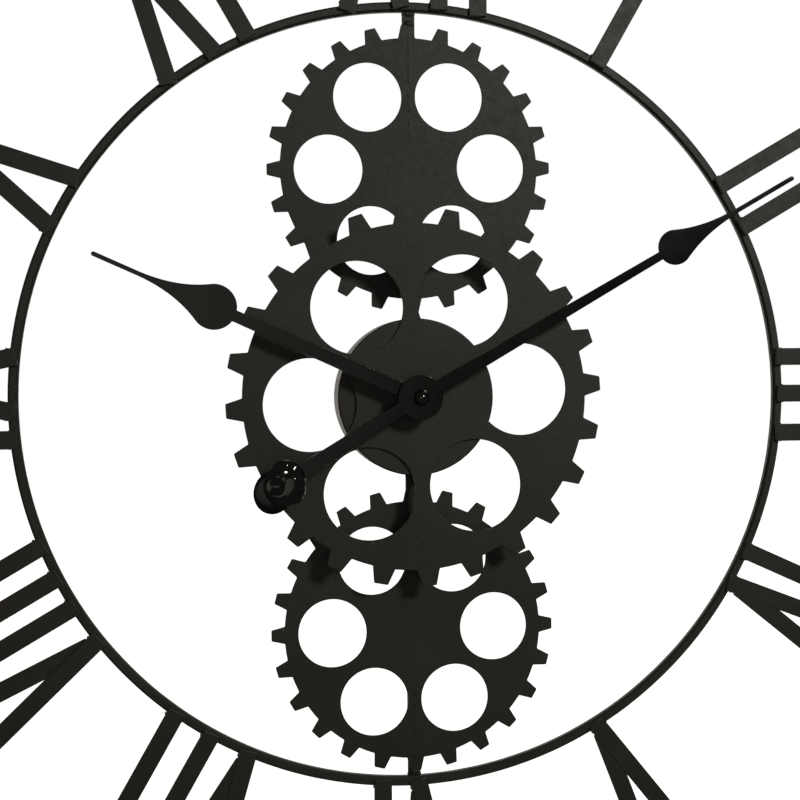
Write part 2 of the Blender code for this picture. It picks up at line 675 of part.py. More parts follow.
def motor_and_board():
    """Stator plate, coil, circuit board and crystal."""
    low = CASE_BACK + 6.7 * MM
    right = 25.4 * MM
    top = 24.8 * MM
    left = ROTOR_AXIS.x - 5.2 * MM
    outline = [(left, -6.5 * MM), (right, -6.5 * MM), (right, 5.5 * MM), (19.0 * MM, 5.5 * MM)]
    outline += [(19.0 * MM, 4.0 * MM), (left, 4.0 * MM)]
    hole = circle(ROTOR_MAGNET + 0.5 * MM, 24, ROTOR_AXIS)
    finish(plate("stator", [outline, hole], low, 1.0 * MM), "steel")
    middle = (19.0 * MM + right) / 2
    core = box("coil", (middle - 2.0 * MM, 5.8 * MM, low), (middle + 2.0 * MM, top, low + 1.0 * MM))
    for i, (start, end, radius) in enumerate(((7.0, 7.8, 3.3), (7.7, 21.6, 2.9), (21.5, 22.3, 3.3))):
        drum = rod(f"coil_drum_{i}", radius * MM, start * MM, end * MM, 20)
        drum.rotation_euler = (-math.pi / 2, 0.0, 0.0)
        drum.location = (middle, (start + end) / 2 * MM, low + 0.5 * MM)
        combine(core, "UNION", drum)
    finish(core, "copper_wire")
    board_low = CASE_BACK + 6.0 * MM
    board = ((-26.0 * MM, 11.5 * MM, board_low), (-9.5 * MM, 26.0 * MM, board_low + 1.0 * MM))
    finish(box("circuit_board", *board), "board")
    can = rod("quartz_crystal", 1.0 * MM, 0.0, 6.0 * MM, 16)
    can.rotation_euler = (0.0, math.pi / 2, 0.0)
    can.location = (-17.5 * MM, 22.5 * MM, board_low + 2.3 * MM)
    finish(can, "steel")


def battery():
    """A cell lying across the bay, its positive contact and its spring."""
    steps = (
        (0.0, 0.0),
        (BATTERY - 0.5 * MM, 0.0),
        (BATTERY, 0.5 * MM),
        (BATTERY, BATTERY_RIGHT - BATTERY_LEFT - 1.8 * MM),
        (BATTERY - 0.6 * MM, BATTERY_RIGHT - BATTERY_LEFT - 1.2 * MM),
        (2.7 * MM, BATTERY_RIGHT - BATTERY_LEFT - 1.2 * MM),
        (2.7 * MM, BATTERY_RIGHT - BATTERY_LEFT),
        (0.0, BATTERY_RIGHT - BATTERY_LEFT),
    )
    cell = turned("battery", list(reversed(steps)), 32, closed=False)
    cell.rotation_euler = (0.0, math.pi / 2, 0.0)
    cell.location = (BATTERY_LEFT, BATTERY_Y, BATTERY_HEIGHT)
    finish(cell, "battery_wrap")
    plus = BATTERY_RIGHT + GAP
    low = (plus, BATTERY_Y - 4.0 * MM, BATTERY_HEIGHT - 5.0 * MM)
    high = (plus + 0.3 * MM, BATTERY_Y + 4.0 * MM, BATTERY_HEIGHT + 5.0 * MM)
    finish(box("battery_contact", low, high), "steel")
    curve = bpy.data.curves.new("battery_spring", "CURVE")
    curve.dimensions = "3D"
    curve.bevel_depth = 0.25 * MM
    curve.bevel_resolution = 1
    curve.use_fill_caps = True
    spline = curve.splines.new("POLY")
    count = 26
    spline.points.add(count - 1)
    length = BATTERY_LEFT - GAP + 26.8 * MM
    for i, point in enumerate(spline.points):
        part = i / (count - 1)
        radius = (4.2 - 1.8 * part) * MM
        angle = math.tau * 2.6 * part
        along = 0.25 * MM + part * (length - 0.5 * MM)
        point.co = (along, radius * math.cos(angle), radius * math.sin(angle), 1.0)
    finish(add_object("battery_spring", curve, (-26.8 * MM, BATTERY_Y, BATTERY_HEIGHT)), "steel")


def build():
    ring("outer_ring", OUTER_RING)
    ring("inner_ring", INNER_RING)
    numerals()
    gears()
    backbone()
    hanger()
    housing()
    movement_case()
    fixings()
    motion_work()
    going_train()
    motor_and_board()
    battery()
    hour_hand()
    minute_hand()
    counterweight()
    cap_nut()


build()
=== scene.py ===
"""Looks of a large skeleton wall clock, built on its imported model.

Each sub-assembly is a class that builds its own pieces and dresses them in the finish that
the real piece has: powder-coated iron for the dial, stoved enamel for the hands, moulded
plastic and plated metal for the quartz movement.
"""

import logging
import math
from collections.abc import Callable, Sequence
from dataclasses import dataclass, field
from enum import Enum
from typing import Any

import bmesh
import bpy
from mathutils import Matrix, Vector, noise

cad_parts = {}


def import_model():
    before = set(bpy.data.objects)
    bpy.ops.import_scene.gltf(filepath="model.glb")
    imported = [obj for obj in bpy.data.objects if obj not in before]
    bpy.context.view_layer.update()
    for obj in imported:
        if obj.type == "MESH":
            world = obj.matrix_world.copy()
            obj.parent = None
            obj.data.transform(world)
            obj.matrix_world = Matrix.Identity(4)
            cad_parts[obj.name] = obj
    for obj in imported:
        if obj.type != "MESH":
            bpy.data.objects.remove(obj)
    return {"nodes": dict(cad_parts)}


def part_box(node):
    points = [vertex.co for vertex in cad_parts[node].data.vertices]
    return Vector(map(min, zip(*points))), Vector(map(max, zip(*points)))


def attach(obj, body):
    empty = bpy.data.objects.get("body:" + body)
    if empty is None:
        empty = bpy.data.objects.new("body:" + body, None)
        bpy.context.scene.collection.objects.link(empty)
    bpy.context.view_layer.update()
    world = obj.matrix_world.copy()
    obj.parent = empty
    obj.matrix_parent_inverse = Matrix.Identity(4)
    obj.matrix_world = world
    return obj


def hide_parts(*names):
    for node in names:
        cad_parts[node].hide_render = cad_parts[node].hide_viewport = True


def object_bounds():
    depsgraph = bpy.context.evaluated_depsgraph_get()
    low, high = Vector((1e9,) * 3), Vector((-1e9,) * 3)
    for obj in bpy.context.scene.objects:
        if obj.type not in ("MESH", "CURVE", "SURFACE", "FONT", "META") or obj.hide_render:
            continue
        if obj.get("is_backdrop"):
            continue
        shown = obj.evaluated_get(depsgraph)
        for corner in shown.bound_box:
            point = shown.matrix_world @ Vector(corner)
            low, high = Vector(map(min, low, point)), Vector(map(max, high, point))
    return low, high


LOG = logging.getLogger("wall_clock")
MM = 0.001
HOURS = ("xii", "i", "ii", "iii", "iv", "v", "vi", "vii", "viii", "ix", "x", "xi")
HOUSING_RADIUS = 49.7 * MM
SMALL_GEAR_TIP = 91.8 * MM
SMALL_GEARS_AT = (146.0 * MM, -150.7 * MM)

Outline = list[tuple[float, float]]
Material = bpy.types.Material
Node = bpy.types.Node
Socket = bpy.types.NodeSocket
Piece = bpy.types.Object


class Body(Enum):
    """The bodies that a piece can ride on."""

    FRAME = "frame"
    MINUTE = "minute"
    HOUR = "hour"
    KNOB = "knob"


class Slot(Enum):
    """The record's material slots."""

    IRON = "iron_paint"
    HAND = "hand_paint"
    GLOSS = "gloss_black"
    PLASTIC = "black_plastic"
    RUBBER = "rubber"
    BRASS = "brass"
    STEEL = "steel"
    ACETAL = "acetal"
    COPPER = "copper_wire"
    MAGNET = "magnet"
    BOARD = "board"
    BATTERY = "battery_wrap"


class Stroke(Enum):
    """How a numeral's stroke is laid out on its two rings."""

    BAR = "i"
    BAR_LEANING = "i that leans anticlockwise"
    CROSS = "x"
    WEDGE = "v"
    WEDGE_LEANING = "v that leans clockwise"


# ---------------------------------------------------------------- colours and node trees


def linear(code: str) -> tuple[float, float, float, float]:
    """Turn an sRGB colour into the linear one that shaders take.

    Args:
        code: The colour as "#rrggbb".

    Returns:
        Red, green, blue and an alpha of 1, linear.
    """
    values = [int(code[start : start + 2], 16) / 255 for start in (1, 3, 5)]
    bent = [v / 12.92 if v <= 0.04045 else ((v + 0.055) / 1.055) ** 2.4 for v in values]
    return (bent[0], bent[1], bent[2], 1.0)


def add_node(tree: bpy.types.NodeTree, kind: str, values: dict[str | int, Any] | None = None) -> Node:
    """Add a node with its properties and inputs.

    Args:
        tree: The node tree.
        kind: The node's type name.
        values: Properties by name, and inputs by name or number. A socket is linked to its input.

    Returns:
        The new node.
    """
    node = tree.nodes.new(kind)
    for name, value in (values or {}).items():
        if isinstance(value, Socket):
            tree.links.new(value, node.inputs[name])
        elif isinstance(name, str) and hasattr(node, name):
            setattr(node, name, value)
        else:
            node.inputs[name].default_value = value
    return node


@dataclass(frozen=True)
class Sheet:
    """A node tree being drawn, with the coordinates that its patterns start from."""

    tree: bpy.types.NodeTree
    place: Socket

    @classmethod
    def blank(cls, tree: bpy.types.NodeTree, kind: str) -> "Sheet":
        """Clear a tree and start it from one kind of coordinates."""
        tree.nodes.clear()
        return cls(tree, add_node(tree, "ShaderNodeTexCoord").outputs[kind])

    def add(self, kind: str, values: dict[str | int, Any] | None = None) -> Any:
        """Add a node and give its outputs."""
        return add_node(self.tree, kind, values).outputs

    def noise(self, size_mm: float, detail: float, place: Socket | None = None) -> Socket:
        """Noise whose lumps are about size_mm across.

        Args:
            size_mm: The size of one lump.
            detail: How many finer octaves lie on it.
            place: Its own coordinates, if they aren't the sheet's.

        Returns:
            The noise's value.
        """
        values = {"Scale": 1.0 / (size_mm * MM), "Detail": detail, "Roughness": 0.55}
        return self.add("ShaderNodeTexNoise", values | {"Vector": place or self.place})["Fac"]

    def spread(self, value: Socket, low: float, high: float, start: float, end: float) -> Socket:
        """Map a value from one range to another, clamped.

        Args:
            value: The value to map.
            low: Where its range starts.
            high: Where its range ends.
            start: What low becomes.
            end: What high becomes.

        Returns:
            The mapped value.
        """
        edges = {"From Min": low, "From Max": high, "To Min": start, "To Max": end}
        return self.add("ShaderNodeMapRange", edges | {"Value": value})["Result"]

    def maths(self, operation: str, *values: Socket | float) -> Socket:
        """Work out one sum from sockets and numbers."""
        return self.add("ShaderNodeMath", {"operation": operation} | dict(enumerate(values)))[0]

    def blend(self, first: Socket | str, second: str, share: Socket, kind: str = "MIX") -> Socket:
        """Blend two colours.

        Args:
            first: The colour where the share is 0, as a socket or a code.
            second: The colour's code where the share is 1.
            share: How much of the second there is.
            kind: How they blend.

        Returns:
            The blended colour.
        """
        start = linear(first) if isinstance(first, str) else first
        values = {"data_type": "RGBA", "blend_type": kind, 0: share, 6: start, 7: linear(second)}
        return self.add("ShaderNodeMix", values)[2]

    def relief(self, height: Socket, depth_mm: float, strength: float = 1.0) -> Socket:
        """Turn a height from 0 to 1 into a relief.

        Args:
            height: The height.
            depth_mm: What a height of 1 stands for.
            strength: How much of it is felt.

        Returns:
            The normal.
        """
        values = {"Strength": strength, "Distance": depth_mm * MM, "Height": height}
        return self.add("ShaderNodeBump", values)["Normal"]


# ------------------------------------------------------------------------------ finishes


@dataclass(frozen=True)
class Finish:
    """A finish: one Principled shader, with inputs that each kind of finish draws itself."""

    name: str

    def draw(self, sheet: Sheet) -> dict[str, Any]:
        """Give the shader's inputs, as sockets or plain values.

        Args:
            sheet: The material's sheet.

        Returns:
            The shader's inputs.
        """
        raise NotImplementedError(self.name)

    def build(self) -> Material:
        """Build the material.

        Returns:
            The finished material.
        """
        material = bpy.data.materials.new(self.name)
        material.use_nodes = True
        sheet = Sheet.blank(material.node_tree, "Object")
        shader = sheet.add("ShaderNodeBsdfPrincipled", self.draw(sheet))
        sheet.add("ShaderNodeOutputMaterial", {"Surface": shader["BSDF"]})
        return material


@dataclass(frozen=True)
class WeldShadow:
    """The print of a strap's welds through a gear plate, as a broken ridge up its middle.

    The heat pulls the sheet by a few hundredths of a millimetre, and the colour is drawn
    darker along the ridge.
    """

    low_mm: float
    high_mm: float
    width_mm: float = 1.6
    wander_mm: float = 1.2
    fade_mm: float = 6.0
    rise: float = 1.3

    def mark(self, sheet: Sheet, colour: Socket, height: Socket) -> tuple[Socket, Socket]:
        """Add the ridge to a coat.

        Args:
            sheet: The coat's sheet.
            colour: The coat's colour.
            height: The coat's height.

        Returns:
            The new colour and height.
        """
        axes = sheet.add("ShaderNodeSeparateXYZ", {"Vector": sheet.place})
        sway, fade = self.wander_mm * MM, self.fade_mm * MM
        low, high = self.low_mm * MM, self.high_mm * MM
        wander = sheet.spread(sheet.noise(9.0, 2.0), 0.0, 1.0, -sway, sway)
        aside = sheet.maths("ABSOLUTE", sheet.maths("ADD", axes["X"], wander))
        ridge = sheet.spread(aside, 0.0, self.width_mm * MM, 1.0, 0.0)
        above = sheet.spread(axes["Y"], low - fade, low + fade, 0.0, 1.0)
        below = sheet.spread(axes["Y"], high - fade, high + fade, 1.0, 0.0)
        broken = sheet.spread(sheet.noise(6.0, 3.0), 0.42, 0.6, 0.0, 1.0)
        partly = sheet.maths("MULTIPLY", sheet.maths("MULTIPLY", above, below), broken)
        mask = sheet.maths("MULTIPLY", ridge, partly)
        raised = sheet.maths("MULTIPLY_ADD", mask, self.rise, height)
        # The colour is multiplied darker where the ridge runs.
        return sheet.blend(colour, "#c4c4c4", mask, "MULTIPLY"), raised


@dataclass(frozen=True)
class PowderCoat(Finish):
    """Black polyester powder coat, baked on mild steel.

    The melted powder leaves a fine orange peel, which breaks the sheen into small specks,
    and a slow drift in its thickness, which turns some of it a little greyer. A few dust
    nibs are baked into it.
    """

    name: str = "powder_coated_mild_steel"
    black: str = "#2b2a26"
    dusty: str = "#383632"
    fleck: str = "#7d7d75"
    roughness: float = 0.52
    peel_mm: float = 1.5
    peel_depth_mm: float = 0.12
    drift_mm: float = 70.0
    nib_mm: float = 1.1
    nib_cell_mm: float = 14.0
    seam: WeldShadow | None = None

    def draw(self, sheet: Sheet) -> dict[str, Any]:
        """Draw the peel, the drift in tone and the nibs.

        Args:
            sheet: The material's sheet.

        Returns:
            The shader's inputs.
        """
        film = sheet.noise(self.peel_mm * 4, 4.0)
        dusty = sheet.spread(sheet.noise(self.drift_mm, 3.0), 0.35, 0.68, 0.0, 0.75)
        # One cell in fourteen carries a pale nib, drawn as large as it needs to show.
        scale = 1.0 / (self.nib_cell_mm * MM)
        cells = sheet.add("ShaderNodeTexVoronoi", {"Scale": scale, "Vector": sheet.place})
        nib = sheet.spread(cells["Distance"], 0.0, self.nib_mm / self.nib_cell_mm, 1.0, 0.0)
        chance = sheet.add("ShaderNodeSeparateColor", {"Color": cells["Color"]})["Red"]
        shown = sheet.maths("MULTIPLY", nib, sheet.spread(chance, 0.93, 0.935, 0.0, 0.55))
        colour = sheet.blend(sheet.blend(self.black, self.dusty, dusty), self.fleck, shown)
        height = sheet.maths("MULTIPLY_ADD", film, 0.45, sheet.noise(self.peel_mm, 2.0))
        if self.seam:
            colour, height = self.seam.mark(sheet, colour, height)
        return {
            "Base Color": colour,
            "Roughness": sheet.spread(film, 0.3, 0.7, self.roughness - 0.05, self.roughness + 0.07),
            "Normal": sheet.relief(height, self.peel_depth_mm),
            "IOR": 1.5,
        }


@dataclass(frozen=True)
class StovedEnamel(Finish):
    """Black stoving enamel, sprayed on stamped steel: level and even, with a soft sheen."""

    black: str
    roughness: float
    coat: float = 0.0
    thin: str = "#12110f"
    flow_mm: float = 5.0
    flow_depth_mm: float = 0.03

    def draw(self, sheet: Sheet) -> dict[str, Any]:
        """Draw the flow of the enamel and where its film is thinner.

        Args:
            sheet: The material's sheet.

        Returns:
            The shader's inputs.
        """
        film = sheet.noise(self.flow_mm * 5, 2.0)
        return {
            "Base Color": sheet.blend(self.black, self.thin, sheet.spread(film, 0.4, 0.75, 0.0, 0.6)),
            "Roughness": sheet.spread(film, 0.3, 0.7, self.roughness * 0.85, self.roughness * 1.2),
            "Normal": sheet.relief(sheet.noise(self.flow_mm, 2.0), self.flow_depth_mm),
            "IOR": 1.5,
            "Coat Weight": self.coat,
            "Coat Roughness": 0.04,
        }


@dataclass(frozen=True)
class MouldedPlastic(Finish):
    """Injection-moulded plastic with the fine spark-eroded grain of its tool.

    The grain is about 0.3 mm across, and is drawn at twice that so that it shows.
    """

    colour: str
    rubbed: str
    roughness: float
    ior: float
    grain_mm: float = 0.6
    grain_depth_mm: float = 0.03
    glow: float = 0.0

    def draw(self, sheet: Sheet) -> dict[str, Any]:
        """Draw the grain and the patches that are rubbed smoother.

        Args:
            sheet: The material's sheet.

        Returns:
            The shader's inputs.
        """
        wear = sheet.noise(18.0, 4.0)
        return {
            "Base Color": sheet.blend(self.colour, self.rubbed, sheet.spread(wear, 0.4, 0.75, 0.0, 0.7)),
            "Roughness": sheet.spread(wear, 0.3, 0.7, self.roughness + 0.05, self.roughness - 0.08),
            "Normal": sheet.relief(sheet.noise(self.grain_mm, 3.0), self.grain_depth_mm),
            "IOR": self.ior,
            "Subsurface Weight": self.glow,
            "Subsurface Radius": (1.0, 0.8, 0.6),
            "Subsurface Scale": 0.8 * MM,
        }


@dataclass(frozen=True)
class BareMetal(Finish):
    """Plated or stamped metal: fine drawn lines along one axis, and a slow tarnish."""

    bright: str
    dull: str
    roughness: float
    line_mm: float = 0.25
    stretch: tuple[float, float, float] = (1.0, 0.08, 1.0)

    def draw(self, sheet: Sheet) -> dict[str, Any]:
        """Draw the lines and the tarnish.

        Args:
            sheet: The material's sheet.

        Returns:
            The shader's inputs.
        """
        stretched = {"operation": "MULTIPLY", 0: sheet.place, 1: self.stretch}
        drawn = sheet.add("ShaderNodeVectorMath", stretched)[0]
        tarnish = sheet.noise(7.0, 4.0)
        return {
            "Base Color": sheet.blend(self.bright, self.dull, sheet.spread(tarnish, 0.4, 0.75, 0.0, 1.0)),
            "Roughness": sheet.spread(tarnish, 0.3, 0.8, self.roughness, self.roughness + 0.18),
            "Normal": sheet.relief(sheet.noise(self.line_mm, 2.0, drawn), 0.01, 0.6),
            "Metallic": 1.0,
        }


@dataclass(frozen=True)
class CopperWinding(Finish):
    """Enamelled copper wire, wound in layers, with painted shade between its turns and a painted highlight
    along each. The 0.1 mm wire is drawn at 0.4 mm.
    """

    name: str = "enamelled_copper_winding"
    pitch_mm: float = 0.4

    def draw(self, sheet: Sheet) -> dict[str, Any]:
        """Draw the turns of wire, with painted shade between them and a painted highlight along each.

        Args:
            sheet: The material's sheet.

        Returns:
            The shader's inputs.
        """
        scale = 0.314 / (self.pitch_mm * MM)
        wave = {"bands_direction": "Z", "Scale": scale, "Distortion": 0.6, "Vector": sheet.place}
        turns = sheet.add("ShaderNodeTexWave", wave)["Fac"]
        return {
            # The colour runs from dark copper in the grooves to pale copper on the crowns: painted shade
            # and painted highlight.
            "Base Color": sheet.blend("#7a3315", "#d08450", turns),
            "Normal": sheet.relief(turns, 0.1),
            "Metallic": 1.0,
            "Roughness": 0.3,
            "Coat Weight": 0.5,
        }


@dataclass(frozen=True)
class SolderMask(Finish):
    """Green solder mask on glass laminate: tracks show as paler raised bands under it."""

    name: str = "solder_masked_glass_laminate"
    track_mm: float = 1.6

    def draw(self, sheet: Sheet) -> dict[str, Any]:
        """Draw the tracks.

        Args:
            sheet: The material's sheet.

        Returns:
            The shader's inputs.
        """
        scale = 1.0 / (self.track_mm * 2 * MM)
        cells = {"distance": "MANHATTAN", "feature": "F1", "Scale": scale, "Vector": sheet.place}
        tracks = sheet.add("ShaderNodeTexVoronoi", cells)["Distance"]
        copper = sheet.spread(tracks, 0.45, 0.5, 1.0, 0.0)
        return {
            "Base Color": sheet.blend("#0e3a1c", "#1f6b37", copper),
            "Normal": sheet.relief(copper, 0.05),
            "Roughness": 0.35,
        }


@dataclass(frozen=True)
class BatterySleeve(Finish):
    """Shrunk PVC sleeve of a plain AA cell: charcoal, with a copper-coloured positive end."""

    name: str = "shrunk_pvc_sleeve"
    band_from_mm: float = 10.0
    ends_mm: tuple[float, float] = (-23.6, 23.2)

    def draw(self, sheet: Sheet) -> dict[str, Any]:
        """Draw the band and the bare ends along the cell.

        Args:
            sheet: The material's sheet.

        Returns:
            The shader's inputs.
        """
        along = sheet.add("ShaderNodeSeparateXYZ", {"Vector": sheet.place})["X"]
        starts = (self.band_from_mm, *self.ends_mm)
        ramps = ((0.0, 1.0), (1.0, 0.0), (0.0, 1.0))
        band, left, right = (
            sheet.spread(along, at * MM, (at + 0.1) * MM, *ramp) for at, ramp in zip(starts, ramps)
        )
        ends = sheet.maths("ADD", left, right)
        return {
            "Base Color": sheet.blend(sheet.blend("#26272b", "#b06c34", band), "#b9b9b6", ends),
            "Metallic": ends,
            "Roughness": sheet.spread(sheet.noise(6.0, 5.0), 0.3, 0.7, 0.2, 0.42),
        }


@dataclass(frozen=True)
class StudioPaper(Finish):
    """Matt white background paper, with the faint tooth of its surface and some light of its own."""

    name: str = "matt_white_paper"
    white: str = "#f7f7f5"
    own_light: float = 1.0

    def draw(self, sheet: Sheet) -> dict[str, Any]:
        """Draw the tooth.

        Args:
            sheet: The material's sheet.

        Returns:
            The shader's inputs.
        """
        return {
            "Normal": sheet.relief(sheet.noise(3.0, 3.0), 0.05, 0.2),
            "Base Color": linear(self.white),
            "Roughness": 0.9,
            "Emission Color": linear(self.white),
            "Emission Strength": self.own_light,
        }


@dataclass(frozen=True)
class Coat:
    """A finish as it is used: its material and the record's slot for it."""

    material: Material
    slot: Slot


@dataclass(frozen=True)
class Palette:
    """Every finish of the clock, built once."""

    iron: Coat
    top_web: Coat
    middle_web: Coat
    bottom_web: Coat
    hand: Coat
    gloss: Coat
    plastic: Coat
    rubber: Coat
    brass: Coat
    steel: Coat
    acetal: Coat
    copper: Coat
    magnet: Coat
    board: Coat
    battery: Coat

    @classmethod
    def mix(cls) -> "Palette":
        """Build all the finishes.

        Returns:
            The palette.
        """
        top = PowderCoat("powder_coated_top_gear", seam=WeldShadow(20.0, 92.0))
        bottom = PowderCoat("powder_coated_bottom_gear", seam=WeldShadow(-92.0, -30.0))
        acetal = MouldedPlastic("moulded_acetal", "#e6e3da", "#dad6ca", 0.4, 1.48, glow=0.3)
        finishes = {
            "iron": (PowderCoat(), Slot.IRON),
            "top_web": (top, Slot.IRON),
            "middle_web": (PowderCoat("powder_coated_middle_gear"), Slot.IRON),
            "bottom_web": (bottom, Slot.IRON),
            "hand": (StovedEnamel("satin_stoving_enamel", "#0a0908", 0.19), Slot.HAND),
            "gloss": (StovedEnamel("gloss_stoving_enamel", "#0a0a0a", 0.1, 1.0, flow_mm=3.0), Slot.GLOSS),
            "plastic": (MouldedPlastic("moulded_abs", "#141414", "#1e1e1e", 0.46, 1.54), Slot.PLASTIC),
            # Nitrile rubber is dead matt, with a dusting of chalk.
            "rubber": (MouldedPlastic("nitrile_rubber", "#1d1d1c", "#343330", 0.85, 1.5, 0.9), Slot.RUBBER),
            "brass": (BareMetal("stamped_brass", "#d9b56b", "#b08c48", 0.22), Slot.BRASS),
            "steel": (BareMetal("nickel_plated_steel", "#c6c4be", "#a6a49e", 0.25), Slot.STEEL),
            "acetal": (acetal, Slot.ACETAL),
            "copper": (CopperWinding(), Slot.COPPER),
            "magnet": (BareMetal("sintered_ferrite", "#4a4a4c", "#38383a", 0.4), Slot.MAGNET),
            "board": (SolderMask(), Slot.BOARD),
            "battery": (BatterySleeve(), Slot.BATTERY),
        }
        return cls(**{use: Coat(finish.build(), slot) for use, (finish, slot) in finishes.items()})


# ------------------------------------------------------------------------------ outlines


def arc(
    radius: float, start: float, end: float, steps: int, centre: Sequence[float] = (0.0, 0.0)
) -> Outline:
    """Points along an arc, both ends included.

    Args:
        radius: The arc's radius.
        start: Its first angle.
        end: Its last angle.
        steps: How many chords it takes.
        centre: Its centre.

    Returns:
        The points.
    """
    turns = [start + (end - start) * step / steps for step in range(steps + 1)]
    return [(centre[0] + radius * math.cos(a), centre[1] + radius * math.sin(a)) for a in turns]


def circle(radius: float, centre: Sequence[float] = (0.0, 0.0), sides: int = 96) -> Outline:
    """A closed circle, as points."""
    return arc(radius, 0.0, math.tau, sides, centre)[:-1]


def bowed(start: Vector, middle: Vector, end: Vector, steps: int) -> Outline:
    """Points along a curve that a middle point draws aside, both ends included.

    Args:
        start: Where it starts.
        middle: The point that draws it aside.
        end: Where it ends.
        steps: How many chords it takes.

    Returns:
        The points.
    """
    shares = [step / steps for step in range(steps + 1)]
    points = [start * (1 - t) ** 2 + middle * 2 * t * (1 - t) + end * t**2 for t in shares]
    return [(point.x, point.y) for point in points]


def softened(outline: Outline, radius: float, steps: int = 3) -> Outline:
    """Round the sharp corners of an outline.

    Args:
        outline: The closed outline.
        radius: The radius that each corner gets.
        steps: How many chords each corner takes.

    Returns:
        The new outline.
    """
    points = [Vector(point) for point in outline]
    made: Outline = []
    for index, corner in enumerate(points):
        before = points[index - 1] - corner
        after = points[(index + 1) % len(points)] - corner
        turn = math.pi - before.angle(after)
        if turn < math.radians(20.0):
            made.append((corner.x, corner.y))
            continue
        reach = min(radius * math.tan(turn / 2), before.length * 0.45, after.length * 0.45)
        start = corner + before.normalized() * reach
        end = corner + after.normalized() * reach
        made += bowed(start, corner, end, steps)
    return made


def gear_outline(teeth: int, tip: float, root: float, tip_half: float, root_half: float) -> Outline:
    """A gear's outline with straight-sided teeth, the first one on the +x axis.

    Args:
        teeth: How many teeth it has.
        tip: Its radius over the teeth.
        root: Its radius between them.
        tip_half: Half the angle that a tooth's tip takes.
        root_half: Half the angle that its root takes.

    Returns:
        The closed outline.
    """
    pitch = math.tau / teeth
    points: Outline = []
    for tooth in range(teeth):
        middle = tooth * pitch
        for radius, turn in ((tip, -tip_half), (tip, tip_half)):
            points.append((radius * math.cos(middle + turn), radius * math.sin(middle + turn)))
        points += arc(root, middle + root_half, middle + pitch - root_half, 5)
    return points


def kept_side(outline: Outline, point: Vector, normal: Vector) -> Outline:
    """The part of a convex outline on the side of a line that its normal points to.

    Args:
        outline: The outline.
        point: A point on the line.
        normal: The line's normal.

    Returns:
        The cut outline, which is empty if nothing is left.
    """
    made: Outline = []
    for index, (x, y) in enumerate(outline):
        here = Vector((x, y))
        there = Vector(outline[(index + 1) % len(outline)])
        a = (here - point).dot(normal)
        b = (there - point).dot(normal)
        if a >= 0:
            made.append((here.x, here.y))
        if a * b < 0:
            cut = here.lerp(there, a / (a - b))
            made.append((cut.x, cut.y))
    return made


# ------------------------------------------------------------------------------- builders


@dataclass(frozen=True)
class Wall:
    """The clock's own axes: x right, y up and z out from the wall, in metres."""

    plane: float

    @classmethod
    def behind(cls) -> "Wall":
        """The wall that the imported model's back rests on."""
        return cls(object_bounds()[1].y)

    def axes(self) -> Matrix:
        """From the clock's axes to the world's."""
        return Matrix.Translation((0.0, self.plane, 0.0)) @ Matrix.Rotation(math.pi / 2, 4, "X")

    def place(self, piece: Piece, at: Sequence[float] = (0.0, 0.0, 0.0), turn: float = 0.0) -> None:
        """Put a piece on the clock.

        Args:
            piece: The piece.
            at: Its origin in the clock's axes.
            turn: Its turn about the axis that points out from the wall.
        """
        piece.matrix_world = self.axes() @ Matrix.Translation(at) @ Matrix.Rotation(turn, 4, "Z")


def new_piece(name: str, data: bpy.types.ID) -> Piece:
    """Add an object to the scene.

    Args:
        name: The object's name.
        data: Its mesh, curve, light or camera.

    Returns:
        The object.
    """
    piece = bpy.data.objects.new(name, data)
    bpy.context.scene.collection.objects.link(piece)
    return piece


def piece_of(name: str, shape: bmesh.types.BMesh) -> Piece:
    """Turn a finished shape into an object in the scene.

    Args:
        name: The object's name.
        shape: The shape, which is freed.

    Returns:
        The object.
    """
    mesh = bpy.data.meshes.new(name)
    shape.to_mesh(mesh)
    shape.free()
    return new_piece(name, mesh)


def smooth(piece: Piece, angle: float = 35.0) -> None:
    """Shade a piece smooth, with its flats kept flat.

    Args:
        piece: The piece.
        angle: Edges sharper than this stay sharp, in degrees.
    """
    piece.data.shade_smooth()
    piece.data.set_sharp_from_angle(angle=math.radians(angle))
    weighted = piece.modifiers.new("flat_faces_stay_flat", "WEIGHTED_NORMAL")
    weighted.keep_sharp = True
    weighted.weight = 80


def rounded_plates(
    name: str, groups: list[list[Outline]], low: float, high: float, rounding: float
) -> Piece:
    """Flat plates with rounded edges, drawn as filled 2D curves.

    Args:
        name: The piece's name.
        groups: One list of outlines for each plate, its holes after it.
        low: The height of the back face.
        high: The height of the front face.
        rounding: The radius of the edges.

    Returns:
        One piece that holds all the plates.
    """
    shape = bmesh.new()
    for outlines in groups:
        curve = bpy.data.curves.new(name, "CURVE")
        curve.dimensions = "2D"
        curve.fill_mode = "BOTH"
        curve.extrude = (high - low) / 2 - rounding
        curve.bevel_depth = rounding
        curve.bevel_resolution = 2
        curve.offset = -rounding
        for outline in outlines:
            spline = curve.splines.new("POLY")
            spline.points.add(len(outline) - 1)
            spline.use_cyclic_u = True
            for point, (x, y) in zip(spline.points, outline):
                point.co = (x, y, 0.0, 1.0)
        drawn = new_piece(name + "_drawn", curve)
        bpy.context.view_layer.update()
        depsgraph = bpy.context.evaluated_depsgraph_get()
        mesh = bpy.data.meshes.new_from_object(drawn.evaluated_get(depsgraph))
        bpy.data.objects.remove(drawn, do_unlink=True)
        bpy.data.curves.remove(curve)
        shape.from_mesh(mesh)
        bpy.data.meshes.remove(mesh)
    bmesh.ops.remove_doubles(shape, verts=shape.verts, dist=0.001 * MM)
    bmesh.ops.recalc_face_normals(shape, faces=shape.faces)
    bmesh.ops.translate(shape, verts=shape.verts, vec=(0.0, 0.0, (low + high) / 2))
    piece = piece_of(name, shape)
    smooth(piece)
    return piece


